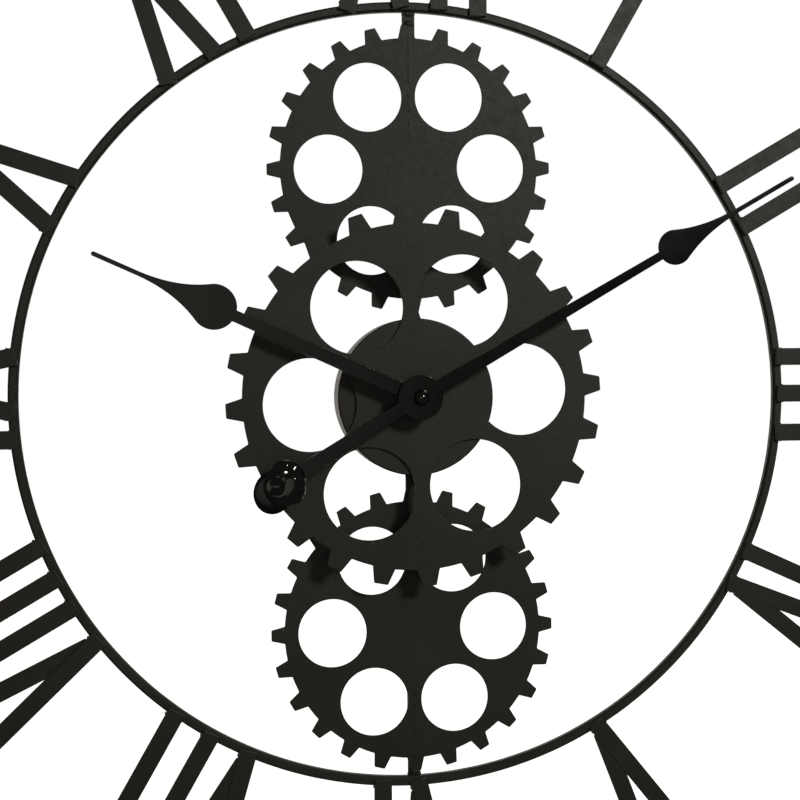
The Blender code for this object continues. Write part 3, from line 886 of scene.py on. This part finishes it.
def lathed(
    name: str, profile: Outline, steps: int, wobble: Callable[[float], float] | None = None
) -> Piece:
    """A turned piece, from a closed profile of (radius, height) points.

    Args:
        name: The piece's name.
        profile: The profile. A point on the axis has a radius of 0.
        steps: How many steps the turn takes.
        wobble: An offset in radius for each angle, if the piece isn't quite round.

    Returns:
        The piece.
    """
    shape = bmesh.new()
    rows = []
    for step in range(steps):
        angle = math.tau * step / steps
        off = wobble(angle) if wobble else 0.0
        row = []
        for radius, height in profile:
            out = radius + off if radius > 0 else 0.0
            row.append(shape.verts.new((out * math.cos(angle), out * math.sin(angle), height)))
        rows.append(row)
    for step in range(steps):
        here, there = rows[step], rows[(step + 1) % steps]
        for index in range(len(profile)):
            after = (index + 1) % len(profile)
            shape.faces.new((here[index], there[index], there[after], here[after]))
    bmesh.ops.remove_doubles(shape, verts=shape.verts, dist=0.0005 * MM)
    bmesh.ops.dissolve_degenerate(shape, dist=0.0005 * MM, edges=shape.edges)
    bmesh.ops.recalc_face_normals(shape, faces=shape.faces)
    piece = piece_of(name, shape)
    smooth(piece)
    return piece


def dress(piece: Piece, coat: Coat) -> None:
    """Give a piece its finish.

    Args:
        piece: The piece.
        coat: Its finish.
    """
    piece.data.materials.clear()
    piece.data.materials.append(coat.material)


def fit(piece: Piece, coat: Coat, body: Body, *nodes: str) -> None:
    """Dress a piece, and let it ride on its body and stand for the nodes that it replaces.

    Args:
        piece: The piece, in place.
        coat: Its finish.
        body: The body that it moves with.
        nodes: The names of the nodes that it replaces.
    """
    dress(piece, coat)
    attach(piece, body.value)
    if nodes:
        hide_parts(*nodes)
    LOG.info("%s rides on %s, %d faces", piece.name, body.value, len(piece.data.polygons))


@dataclass
class Assembly:
    """A part of the clock that builds its own pieces."""

    wall: Wall
    palette: Palette


@dataclass
class WeldBeads:
    """MIG weld beads, painted over: a row of overlapping lumps along each joint."""

    name: str
    radius: float = 1.5 * MM
    shape: bmesh.types.BMesh = field(default_factory=bmesh.new)
    count: int = 0

    def lay(self, start: Vector, end: Vector) -> None:
        """Lay one bead.

        Args:
            start: Where the bead starts, in the clock's axes.
            end: Where it ends.
        """
        steps = max(3, round((end - start).length / (self.radius * 0.9)))
        for step in range(steps + 1):
            at = start.lerp(end, step / steps)
            lump = noise.noise(at * 900.0)
            size = self.radius * (1.0 + 0.25 * lump) * (0.75 if step in (0, steps) else 1.0)
            made = bmesh.ops.create_icosphere(self.shape, subdivisions=2, radius=size)
            for vertex in made["verts"]:
                swell = 1.0 + 0.12 * noise.noise((vertex.co + at) * 1500.0)
                vertex.co = vertex.co * swell + at
        self.count += 1

    def finished(self, coat: Coat, wall: Wall) -> None:
        """Make one piece of all the beads, riding on the frame.

        Args:
            coat: Their finish.
            wall: The clock's axes.
        """
        piece = piece_of(self.name, self.shape)
        piece.data.shade_smooth()
        wall.place(piece)
        fit(piece, coat, Body.FRAME)


# ---------------------------------------------------------------------------- iron frame


@dataclass
class Rings(Assembly):
    """Two rings of square bar, rolled, welded shut and ground."""

    outer: float = 400.0 * MM
    inner: float = 252.5 * MM
    width: float = 6.4 * MM
    depth: float = 6.0 * MM
    edge: float = 1.5 * MM
    steps: int = 360
    unevenness: float = 0.12 * MM

    def ring(self, name: str, radius: float, seed: float) -> None:
        """Build one ring.

        Args:
            name: The node that it stands for.
            radius: Its outside radius.
            seed: Which unevenness it gets.
        """
        inside = radius - self.width
        corners = (
            (radius - self.edge, self.depth - self.edge, 0.5),
            (radius - self.edge, self.edge, 0.0),
            (inside + self.edge, self.edge, -0.5),
            (inside + self.edge, self.depth - self.edge, -1.0),
        )
        profile: Outline = []
        for x, z, start in corners:
            profile += arc(self.edge, math.pi * start, math.pi * (start - 0.5), 1, (x, z))

        def wobble(angle: float) -> float:
            """How far the rolled bar strays from its circle."""
            way = Vector((math.cos(angle) * 4, math.sin(angle) * 4, seed))
            return -abs(noise.noise(way)) * self.unevenness

        piece = lathed(name + "_bar", profile, self.steps, wobble)
        self.wall.place(piece)
        fit(piece, self.palette.iron, Body.FRAME, name)

    def build(self) -> None:
        """Build both rings."""
        self.ring("outer_ring", self.outer, 1.7)
        self.ring("inner_ring", self.inner, 5.3)


@dataclass
class Numerals(Assembly):
    """Roman numerals of sheared flat bar, laid on the rings and welded from behind."""

    rings: Rings
    width: float = 11.4 * MM
    low: float = 6.0 * MM
    high: float = 8.3 * MM
    foot_radius: float = 248.2 * MM
    head_radius: float = 397.0 * MM
    cross_spread: float = 35.0 * MM
    cross_lean: float = math.radians(12.6)
    bar_lean: float = math.radians(5.6)
    near: float = math.radians(4.1)
    far: float = math.radians(13.7)
    overlap: float = -0.06
    edge: float = 0.4 * MM
    corner: float = 0.7 * MM
    layout: dict[str, tuple[tuple[Stroke, float], ...]] = field(
        default_factory=lambda: {
            "xii": ((Stroke.CROSS, -22.5), (Stroke.BAR, 19.4), (Stroke.BAR, 44.9)),
            "i": ((Stroke.BAR, -0.2),),
            "ii": ((Stroke.BAR, -15.0), (Stroke.BAR, 16.6)),
            "iii": ((Stroke.BAR, -23.8), (Stroke.BAR, 0.8), (Stroke.BAR, 27.0)),
            "iv": ((Stroke.BAR_LEANING, -21.0), (Stroke.WEDGE, 2.4)),
            "v": ((Stroke.WEDGE, 2.9),),
            "vi": ((Stroke.WEDGE_LEANING, -2.7), (Stroke.BAR, 21.0)),
            "vii": ((Stroke.WEDGE_LEANING, -20.0), (Stroke.BAR, 6.7), (Stroke.BAR, 32.9)),
            "viii": (
                (Stroke.WEDGE_LEANING, -30.1),
                (Stroke.BAR, -4.1),
                (Stroke.BAR, 16.8),
                (Stroke.BAR, 38.5),
            ),
            "ix": ((Stroke.BAR, -24.0), (Stroke.CROSS, 10.2)),
            "x": ((Stroke.CROSS, -2.8),),
            "xi": ((Stroke.CROSS, -16.0), (Stroke.BAR, 24.5)),
        }
    )

    def line(self, foot: float, lean: float) -> tuple[Vector, Vector]:
        """A bar's foot and head.

        Args:
            foot: The foot's distance clockwise of the hour's own radius.
            lean: How far the bar leans clockwise.

        Returns:
            The middle of its foot, on the inner ring, and of its head, on the outer one.
        """
        start = Vector((foot, math.sqrt(self.foot_radius**2 - foot**2)))
        along = Vector((math.sin(lean), math.cos(lean)))
        shadow = start.dot(along)
        reach = math.sqrt(shadow**2 - start.length_squared + self.head_radius**2) - shadow
        return start, start + along * reach

    def lines(self, stroke: Stroke, foot: float) -> list[tuple[Vector, Vector]]:
        """The feet and heads of a stroke's bars.

        Args:
            stroke: How the stroke is laid out.
            foot: The distance of its foot clockwise of the hour's own radius.

        Returns:
            One line for each bar, the whole bar first.
        """
        if stroke is Stroke.BAR:
            return [self.line(foot, 0.0)]
        if stroke is Stroke.BAR_LEANING:
            return [self.line(foot, -self.bar_lean)]
        if stroke is Stroke.CROSS:
            half = self.cross_spread / 2
            return [self.line(foot - half, self.cross_lean), self.line(foot + half, -self.cross_lean)]
        even = (self.near + self.far) / 2
        clockwise, anticlockwise = (even, even) if stroke is Stroke.WEDGE else (self.near, self.far)
        apex = self.width * self.overlap
        return [self.line(foot - apex, -anticlockwise), self.line(foot + apex, clockwise)]

    def outline(self, line: tuple[Vector, Vector]) -> Outline:
        """The outline of one bar.

        Args:
            line: The bar's foot and head.

        Returns:
            Its four corners.
        """
        along = (line[1] - line[0]).normalized()
        across = Vector((along.y, -along.x)) * self.width / 2
        corners = (line[0] + across, line[1] + across, line[1] - across, line[0] - across)
        return [(corner.x, corner.y) for corner in corners]

    def plates(self, lines: list[tuple[Vector, Vector]]) -> list[Outline]:
        """The outlines of a stroke's bars. A second bar is cut where it meets the first.

        Args:
            lines: The bars' feet and heads.

        Returns:
            One convex outline for each flat piece of iron.
        """
        whole = lines[0]
        made = [self.outline(whole)]
        along = (whole[1] - whole[0]).normalized()
        aside = Vector((along.y, -along.x))
        for line in lines[1:]:
            for side in (aside, -aside):
                part = kept_side(self.outline(line), whole[0] + side * self.width / 2, side)
                if len(part) > 2:
                    made.append(part)
        return made

    def weld(self, line: tuple[Vector, Vector], turn: float, inner: WeldBeads, outer: WeldBeads) -> None:
        """Lay the beads that hold a bar to its rings, in the corner behind the bar.

        Args:
            line: The bar's foot and head.
            turn: The hour's turn.
            inner: The beads on the inner ring.
            outer: The beads on the outer ring.
        """
        along = (line[1] - line[0]).normalized()
        aside = Vector((along.y, -along.x)) * (self.width / 2 - 0.6 * MM)
        turned = Matrix.Rotation(turn, 2)
        inside_outer = self.rings.outer - self.rings.width
        for beads, radius, step in ((inner, self.rings.inner, 0.3 * MM), (outer, inside_outer, -0.3 * MM)):
            shadow = line[0].dot(along)
            reach = math.sqrt(shadow**2 - line[0].length_squared + (radius + step) ** 2) - shadow
            middle = line[0] + along * reach
            height = self.low - beads.radius * 0.9
            ends = [turned @ (middle + aside * side) for side in (-1, 1)]
            beads.lay(Vector((*ends[0], height)), Vector((*ends[1], height)))

    def build(self) -> None:
        """Build every stroke and its welds."""
        inner = WeldBeads("inner_ring_welds")
        outer = WeldBeads("outer_ring_welds")
        for hour, numeral in enumerate(HOURS):
            turn = -math.radians(30.0 * hour)
            for place, (stroke, foot) in enumerate(self.layout[numeral], 1):
                node = f"numeral_{numeral}_{place}{stroke.value[0]}"
                lines = self.lines(stroke, foot * MM)
                groups = [[softened(outline, self.corner)] for outline in self.plates(lines)]
                piece = rounded_plates(node + "_bars", groups, self.low, self.high, self.edge)
                self.wall.place(piece, turn=turn)
                fit(piece, self.palette.iron, Body.FRAME, node)
                for line in lines:
                    self.weld(line, turn, inner, outer)
        for beads in (inner, outer):
            LOG.info("%s holds %d beads", beads.name, beads.count)
            beads.finished(self.palette.iron, self.wall)


@dataclass
class GearPlates(Assembly):
    """Three decorative gears, laser-cut from 1.5 mm sheet and tumbled."""

    teeth: int = 24
    windows: int = 6
    thick: float = 1.5 * MM
    tip_half: float = math.radians(2.15)
    root_half: float = math.radians(3.8)
    edge: float = 0.4 * MM
    corner: float = 0.9 * MM

    def plate(self, node: str, sizes: Sequence[float], front: float, centre: float, turn: float) -> Piece:
        """Build one gear.

        Args:
            node: The node that it stands for.
            sizes: Its tip radius, root radius, window radius, window pitch and centre hole.
            front: The height of its front face.
            centre: How far above the dial's centre it sits.
            turn: Its turn, anticlockwise.

        Returns:
            The gear.
        """
        tip, root, window, pitch, hole = sizes
        outer = softened(gear_outline(self.teeth, tip, root, self.tip_half, self.root_half), self.corner)
        spin = Matrix.Rotation(turn, 2)
        outlines = [outer]
        for index in range(self.windows):
            angle = math.tau * index / self.windows
            outlines.append(circle(window, (pitch * math.cos(angle), pitch * math.sin(angle))))
        if hole:
            outlines.append(circle(hole, sides=48))
        spun = [[tuple(spin @ Vector(point)) for point in outline] for outline in outlines]
        piece = rounded_plates(node + "_plate", [spun], -self.thick, 0.0, self.edge)
        self.wall.place(piece, (0.0, centre, front))
        return piece

    def build(self) -> None:
        """Build the three gears."""
        small = (SMALL_GEAR_TIP, 83.3 * MM, 21.9 * MM, 52.6 * MM, 0.0)
        large = (120.0 * MM, 109.6 * MM, 29.2 * MM, 67.7 * MM, 4.3 * MM)
        rows = (
            ("top_gear", small, 6.3 * MM, SMALL_GEARS_AT[0], 1.0, self.palette.top_web),
            ("bottom_gear", small, 6.3 * MM, SMALL_GEARS_AT[1], 0.5, self.palette.bottom_web),
            ("middle_gear", large, 25.0 * MM, 0.0, 3.6, self.palette.middle_web),
        )
        for node, sizes, front, centre, turn, coat in rows:
            piece = self.plate(node, sizes, front, centre, math.radians(turn))
            fit(piece, coat, Body.FRAME, node)


@dataclass
class Backbone(Assembly):
    """The straps behind the small gears, the hanging plate and their welds."""

    rings: Rings
    strap_width: float = 8.0 * MM
    strap_low: float = 1.5 * MM
    strap_high: float = 4.5 * MM
    gap: float = 0.3 * MM

    def straps(self) -> None:
        """Build the straps, and the blobs of weld where they meet ring, gear and housing."""
        beads = WeldBeads("strap_welds", 2.0 * MM)
        half = self.strap_width / 2
        for node, centre in zip(("top_strap", "bottom_strap"), SMALL_GEARS_AT):
            side = math.copysign(1.0, centre)
            near = side * (HOUSING_RADIUS + self.gap)
            far = side * (self.rings.inner - self.rings.width - self.gap / 2)
            low, high = sorted((near, far))
            outline = softened([(-half, low), (half, low), (half, high), (-half, high)], 0.6 * MM)
            piece = rounded_plates(node + "_bar", [[outline]], self.strap_low, self.strap_high, 0.4 * MM)
            self.wall.place(piece)
            fit(piece, self.palette.iron, Body.FRAME, node)
            ends = Vector((half - 1.0 * MM, 0.0, 0.0))
            for along, height in ((far - side * 1.2 * MM, 3.4 * MM), (near + side * 1.0 * MM, 3.4 * MM)):
                middle = Vector((0.0, along, height))
                beads.lay(middle - ends, middle + ends)
            # The tooth at twelve or six o'clock is tacked to the strap from the front.
            tack = Vector((0.0, centre + side * (SMALL_GEAR_TIP + 0.4 * MM), self.strap_high + 0.4 * MM))
            beads.lay(tack - ends * 0.6, tack + ends * 0.6)
        beads.finished(self.palette.iron, self.wall)

    def hanger(self) -> None:
        """Build the plate with the keyhole that the clock hangs by."""
        edge = self.rings.outer - self.rings.width - self.gap
        half, drop, corner = 15.0 * MM, 25.0 * MM, 4.0 * MM
        lean = math.asin(half / edge)
        low = edge - drop
        outline = arc(edge, math.pi / 2 - lean, math.pi / 2 + lean, 12)
        outline += arc(corner, math.pi, math.pi * 1.5, 8, (-half + corner, low + corner))
        outline += arc(corner, -math.pi / 2, 0.0, 8, (half - corner, low + corner))
        wide, narrow, middle = 5.0 * MM, 2.6 * MM, low + 9.0 * MM
        lean = math.asin(narrow / wide)
        keyhole = arc(wide, math.pi / 2 + lean, math.pi * 2.5 - lean, 40, (0.0, middle))
        keyhole += arc(narrow, 0.0, math.pi, 16, (0.0, middle + 9.0 * MM))
        piece = rounded_plates("hanger_plate_sheet", [[outline, keyhole]], 0.0, 2.5 * MM, 0.35 * MM)
        self.wall.place(piece)
        fit(piece, self.palette.iron, Body.FRAME, "hanger_plate")
        beads = WeldBeads("hanger_welds", 1.3 * MM)
        for x in (-9.0 * MM, 9.0 * MM):
            along = math.sqrt(edge**2 - x**2) + 0.1 * MM
            beads.lay(Vector((x - 3.0 * MM, along, 2.7 * MM)), Vector((x + 3.0 * MM, along, 2.7 * MM)))
        beads.finished(self.palette.iron, self.wall)

    def build(self) -> None:
        """Build the straps and the hanging plate."""
        self.straps()
        self.hanger()


# ------------------------------------------------------------------------------- movement


@dataclass
class Housing(Assembly):
    """The pressed steel cup behind the middle gear, with the draw radius of its die."""

    radius: float = HOUSING_RADIUS
    front: float = 23.2 * MM
    wall_thick: float = 1.5 * MM
    bend: float = 1.2 * MM
    hole: float = 4.3 * MM

    def build(self) -> None:
        """Build the cup."""
        inside = self.radius - self.wall_thick
        shelf = self.front - self.wall_thick
        lip = 0.4 * MM
        profile = arc(self.bend, math.pi / 2, 0.0, 8, (self.radius - self.bend, self.front - self.bend))
        profile += arc(lip, 0.0, -math.pi / 2, 4, (self.radius - lip, lip))
        profile += arc(lip, -math.pi / 2, -math.pi, 4, (inside + lip, lip))
        profile += arc(0.8 * MM, 0.0, math.pi / 2, 4, (inside - 0.8 * MM, shelf - 0.8 * MM))
        profile += [(self.hole, shelf), (self.hole, self.front)]
        piece = lathed("movement_housing_cup", profile, 192)
        self.wall.place(piece)
        fit(piece, self.palette.iron, Body.FRAME, "movement_housing")


@dataclass
class Movement(Assembly):
    """The quartz movement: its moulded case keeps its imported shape, and gets its details."""

    nodes: dict[str, Piece]
    case: float = 56.0 * MM

    def finishes(self) -> dict[str, Coat]:
        """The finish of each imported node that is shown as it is.

        Returns:
            The finishes by node name.
        """
        p = self.palette
        groups = (
            (p.acetal, "intermediate_wheel", "hour_wheel", "seconds_wheel", "third_wheel", "fifth_wheel"),
            (p.steel, "minute_arbor", "stator", "quartz_crystal", "battery_contact", "battery_spring"),
            (p.plastic, "movement_case", "movement_cover"),
            (p.hand, "clamp_washer", "hex_nut"),
            (p.brass, "centre_wheel"),
            (p.copper, "coil"),
            (p.magnet, "rotor"),
            (p.board, "circuit_board"),
            (p.battery, "battery"),
            (p.rubber, "rubber_gasket"),
        )
        return {name: coat for coat, *names in groups for name in names}

    def dress_nodes(self) -> None:
        """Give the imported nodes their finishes."""
        for name, coat in self.finishes().items():
            dress(self.nodes[name], coat)
            LOG.info("%s wears %s", name, coat.material.name)

    def knob(self) -> None:
        """Build the setting knob with its milled edge."""
        low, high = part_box("setting_knob")
        centre = (low + high) / 2
        radius = (high.x - low.x) / 2
        back = self.wall.plane - high.y
        front = back + 2.3 * MM
        ridges = 36
        outline = []
        for step in range(ridges * 2):
            angle = math.pi * step / ridges
            out = radius - 0.25 * MM * (step % 2)
            outline.append((out * math.cos(angle), out * math.sin(angle)))
        piece = rounded_plates("setting_knob_milled", [[outline]], back, front, 0.15 * MM)
        self.wall.place(piece, (centre.x, centre.z, 0.0))
        fit(piece, self.palette.plastic, Body.KNOB)

    def cover_details(self) -> None:
        """Build the raised rim on the cover."""
        low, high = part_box("movement_cover")
        surface = self.wall.plane - high.y
        thick = 0.3 * MM
        half = self.case / 2
        edges = []
        for inset, rounding in ((2.2 * MM, 2.0 * MM), (3.0 * MM, 1.4 * MM)):
            side = half - inset
            bottom = low.z + inset
            corners = [(-side, bottom), (side, bottom), (side, side), (-side, side)]
            edges.append(softened(corners, rounding, 6))
        top = surface + 0.1 * MM
        piece = rounded_plates("movement_cover_rim", [edges], surface - thick, top, 0.1 * MM)
        self.wall.place(piece)
        fit(piece, self.palette.plastic, Body.FRAME)

    def build(self) -> None:
        """Dress the movement and add its details."""
        self.dress_nodes()
        self.knob()
        self.cover_details()


# ---------------------------------------------------------------------------------- hands


@dataclass(frozen=True)
class Spade:
    """The sizes of a spade hand, along its own length from the dial's centre."""

    node: str
    body: Body
    hub: float
    arm_near: float
    arm_far: float
    bulb: float
    bulb_at: float
    needle: float
    needle_at: float
    tip: float
    bore: float
    low: float
    angle: float

    def side(self) -> Outline:
        """The right-hand side of the hand above its hub.

        Returns:
            Points from the hub to the tip.
        """
        points = [(self.arm_near, math.sqrt(self.hub**2 - self.arm_near**2))]
        entry = -math.acos(self.arm_far / self.bulb)
        points += arc(self.bulb, entry, math.radians(28.0), 36, (0.0, self.bulb_at))
        start = Vector(points[-1])
        end = Vector((self.needle, self.needle_at))
        bend = Vector((self.needle * 1.15, start.y + (end.y - start.y) * 0.42))
        points += bowed(start, bend, end, 24)[1:]
        return points + arc(self.needle, 0.0, math.pi / 2, 8, (0.0, self.tip - self.needle))


def mirrored(side: Outline) -> Outline:
    """A closed outline from its right-hand side, whose ends lie on the centre line."""
    return side + [(-x, y) for x, y in reversed(side) if x > 1e-6]


@dataclass
class Hands(Assembly):
    """Two spade hands stamped from 1 mm steel, with the minute hand's counterweight and cap."""

    thick: float = 1.0 * MM
    tail: float = 100.0 * MM
    tail_disc: float = 12.5 * MM
    hour: Spade = Spade(
        "hour_hand", Body.HOUR, 10.0 * MM, 4.7 * MM, 3.6 * MM, 14.0 * MM, 138.5 * MM, 1.4 * MM,
        188.0 * MM, 218.0 * MM, 3.1 * MM, 36.0 * MM, math.radians(294.1),
    )
    minute: Spade = Spade(
        "minute_hand", Body.MINUTE, 14.0 * MM, 4.3 * MM, 2.7 * MM, 11.2 * MM, 189.6 * MM, 1.5 * MM,
        238.0 * MM, 281.5 * MM, 1.9 * MM, 40.0 * MM, math.radians(60.4),
    )

    def hand(self, spade: Spade, below: Outline) -> None:
        """Build one hand.

        Args:
            spade: The hand's sizes.
            below: The right-hand side of what lies below its arm.
        """
        outline = mirrored(below + spade.side())
        if spade is self.minute:
            outline = [(x + self.bend(y), y) for x, y in outline]
        outlines = [outline, circle(spade.bore, sides=48)]
        name = spade.node + "_stamping"
        piece = rounded_plates(name, [outlines], spade.low, spade.low + self.thick, 0.3 * MM)
        self.wall.place(piece, turn=-spade.angle)
        fit(piece, self.palette.hand, spade.body, spade.node)

    def cake(self, name: str, radius: float, distance: float, rise: float, lumpy: float) -> Piece:
        """Build one poured cake of lead, flat below and domed above.

        Args:
            name: The piece's name.
            radius: Its radius.
            distance: How far its middle is from the axis.
            rise: Its height.
            lumpy: How uneven its top is, from 0 to 1.

        Returns:
            The piece, on the minute hand.
        """
        rings, steps = 26, 96
        shape = bmesh.new()
        rows = []
        for ring in range(rings + 1):
            out = radius * math.sin(math.pi / 2 * ring / rings)
            row = []
            for step in range(steps):
                angle = math.tau * step / steps
                at = Vector((out * math.cos(angle), out * math.sin(angle), 0.0))
                lump = noise.noise(at * 115.0 + Vector((0.0, 0.0, 3.0)))
                sway = 1.0 + lumpy * (0.05 * math.sin(3 * angle + 0.6) + 0.03 * math.sin(5 * angle))
                shoulder = max(0.0, 1.0 - (out / radius) ** 6)
                tall = rise * shoulder * min(1.0, 0.74 + 0.26 * (1 - out / radius) + lumpy * lump)
                row.append(shape.verts.new((at.x * sway, at.y * sway - distance, tall)))
            rows.append(row)
        for inner, outer in zip(rows, rows[1:]):
            for step in range(steps):
                after = (step + 1) % steps
                shape.faces.new((inner[step], outer[step], outer[after], inner[after]))
        shape.faces.new(list(reversed(rows[-1])))
        bmesh.ops.remove_doubles(shape, verts=shape.verts, dist=0.01 * MM)
        bmesh.ops.recalc_face_normals(shape, faces=shape.faces)
        for vertex in shape.verts:
            vertex.co.x += self.bend(vertex.co.y)
        piece = piece_of(name, shape)
        smooth(piece, 60.0)
        base = self.wall.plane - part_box("counterweight")[1].y
        self.wall.place(piece, (0.0, 0.0, base), -self.minute.angle)
        return piece

    def counterweight(self) -> None:
        """Build the lead on the minute hand's tail: a lumpy cake and a thin one beyond it."""
        low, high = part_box("counterweight")
        thick = self.cake("counterweight_cake", 14.0 * MM, self.tail - 0.5 * MM, high.y - low.y, 0.6)
        fit(thick, self.palette.gloss, Body.MINUTE, "counterweight")
        thin = self.cake("counterweight_spill", 12.7 * MM, self.tail + 8.0 * MM, 1.6 * MM, 0.0)
        fit(thin, self.palette.hand, Body.MINUTE)

    def bend(self, y: float) -> float:
        """How far the tail is bent aside at a distance below the axis."""
        return 3.2 * MM * (max(0.0, -y - 0.03) / 0.07) ** 2

    def cap(self) -> None:
        """Build the ball cap that screws on the minute arbor."""
        low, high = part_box("cap_nut")
        base = self.wall.plane - high.y
        top = self.wall.plane - low.y
        ball, flange = 4.6 * MM, 5.1 * MM
        profile = [(0.0, base + 2.6 * MM)]
        profile += arc(ball, math.radians(90.0), math.radians(-22.0), 20, (0.0, top - ball))
        profile += arc(0.25 * MM, math.pi / 2, 0.0, 3, (flange - 0.25 * MM, base + 0.55 * MM))
        profile += [(flange, base), (1.9 * MM, base), (1.9 * MM, base + 2.6 * MM)]
        piece = lathed("cap_nut_ball", profile, 64)
        self.wall.place(piece)
        fit(piece, self.palette.gloss, Body.MINUTE, "cap_nut")

    def build(self) -> None:
        """Build both hands, the counterweight and the cap."""
        start = self.hour.side()[0]
        below = arc(self.hour.hub, -math.pi / 2, math.atan2(start[1], start[0]), 36)[:-1]
        self.hand(self.hour, below)
        neck = (4.2 * MM, 4.8 * MM)
        start = self.minute.side()[0]
        entry = math.acos(neck[1] / self.tail_disc)
        below = arc(self.tail_disc, -math.pi / 2, entry, 36, (0.0, -self.tail))
        leave = math.acos(neck[0] / self.minute.hub)
        below += arc(self.minute.hub, -leave, math.atan2(start[1], start[0]), 30)[:-1]
        self.hand(self.minute, below)
        self.counterweight()
        self.cap()


# --------------------------------------------------------------------------------- studio


@dataclass
class Studio:
    """A white floor, one key light from the right, and a dim, even surround."""

    floor_level: float
    camera_at: tuple[float, float, float] = (-0.1491, -0.8753, 0.0202)
    camera_turns: tuple[float, float, float] = (-9.0, 88.58, -0.48)
    lens: float = 63.3
    key_direction: tuple[float, float, float] = (0.5, -0.9, 0.48)
    key_distance: float = 2.6
    key_size: float = 0.5
    key_power: float = 20.0
    surround: float = 0.05
    behind: float = 1.3
    fill: float = 0.4
    warmth: str = "#fffaee"

    def floor(self) -> None:
        """Lay the paper floor."""
        shape = bmesh.new()
        bmesh.ops.create_grid(shape, x_segments=8, y_segments=8, size=6.0)
        floor = piece_of("studio_floor", shape)
        floor.location = (0.0, 0.0, self.floor_level)
        floor.data.materials.append(StudioPaper().build())
        # It lies far below, so its bounce is left to the surround.
        floor.visible_diffuse = False
        floor.visible_glossy = False
        floor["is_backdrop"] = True

    def light(self, name: str, at: Vector, target: Vector, size: float, power: float) -> None:
        """Hang a soft round light.

        Args:
            name: Its name.
            at: Where it hangs.
            target: What it points at.
            size: Its diameter.
            power: Its power in watts.
        """
        data = bpy.data.lights.new(name, "AREA")
        data.shape = "DISK"
        data.size = size
        data.energy = power
        data.color = linear(self.warmth)[:3]
        lamp = new_piece(name, data)
        lamp.location = at
        lamp.rotation_mode = "QUATERNION"
        lamp.rotation_quaternion = (target - at).to_track_quat("-Z", "Y")

    def surroundings(self) -> None:
        """Paint the world: white to look at, dim in front and brighter behind as a light."""
        world = bpy.data.worlds.new("white_studio")
        bpy.context.scene.world = world
        world.use_nodes = True
        sheet = Sheet.blank(world.node_tree, "Generated")
        way = sheet.add("ShaderNodeSeparateXYZ", {"Vector": sheet.place})
        behind = sheet.spread(way["Y"], 0.35, 0.9, self.surround, self.behind)
        # A dim fill card stands in front, a little to the left.
        card = sheet.spread(way["Y"], -0.9, -0.8, self.fill, 0.0)
        right = sheet.spread(way["X"], 0.03, 0.2, 1.0, 0.0)
        top = sheet.spread(way["Z"], 0.12, 0.3, 1.0, 0.0)
        bottom = sheet.spread(way["Z"], -0.3, -0.15, 0.0, 1.0)
        for edge in (right, top, bottom):
            card = sheet.maths("MULTIPLY", card, edge)
        total = sheet.maths("ADD", behind, card)
        lit = sheet.add("ShaderNodeBackground", {"Color": linear(self.warmth), "Strength": total})
        seen = sheet.add("ShaderNodeBackground", {"Color": (1.0, 1.0, 1.0, 1.0), "Strength": 1.0})
        looked_at = sheet.add("ShaderNodeLightPath")["Is Camera Ray"]
        both = sheet.add("ShaderNodeMixShader", {0: looked_at, 1: lit[0], 2: seen[0]})
        sheet.add("ShaderNodeOutputWorld", {"Surface": both[0]})

    def camera(self) -> None:
        """Stand the camera a little left of the dial, turned to the right."""
        yaw, pitch, roll = (math.radians(turn) for turn in self.camera_turns)
        data = bpy.data.cameras.new("camera")
        data.lens = self.lens
        data.sensor_width = 36.0
        data.clip_start = 0.01
        data.clip_end = 50.0
        eye = new_piece("camera", data)
        turned = Matrix.Rotation(yaw, 4, "Z") @ Matrix.Rotation(pitch, 4, "X")
        eye.matrix_world = Matrix.Translation(self.camera_at) @ turned @ Matrix.Rotation(roll, 4, "Z")
        bpy.context.scene.camera = eye

    def build(self) -> None:
        """Set the studio up."""
        self.floor()
        key = Vector(self.key_direction).normalized() * self.key_distance
        self.light("key_light", key, Vector((0.0, 0.0, 0.0)), self.key_size, self.key_power)
        self.surroundings()
        self.camera()
        bpy.context.scene.view_settings.view_transform = "Standard"
        LOG.info("studio ready, floor at %.3f m", self.floor_level)


def main() -> None:
    """Build the clock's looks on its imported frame."""
    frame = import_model()
    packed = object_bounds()
    wall = Wall.behind()
    palette = Palette.mix()
    rings = Rings(wall, palette)
    rings.build()
    Numerals(wall, palette, rings).build()
    GearPlates(wall, palette).build()
    Backbone(wall, palette, rings).build()
    Housing(wall, palette).build()
    Movement(wall, palette, frame["nodes"]).build()
    Hands(wall, palette).build()
    Studio(packed[0].z - 2.0 * MM).build()


if __name__ == "__main__":
    logging.basicConfig(level=logging.INFO, format="%(message)s")
    main()
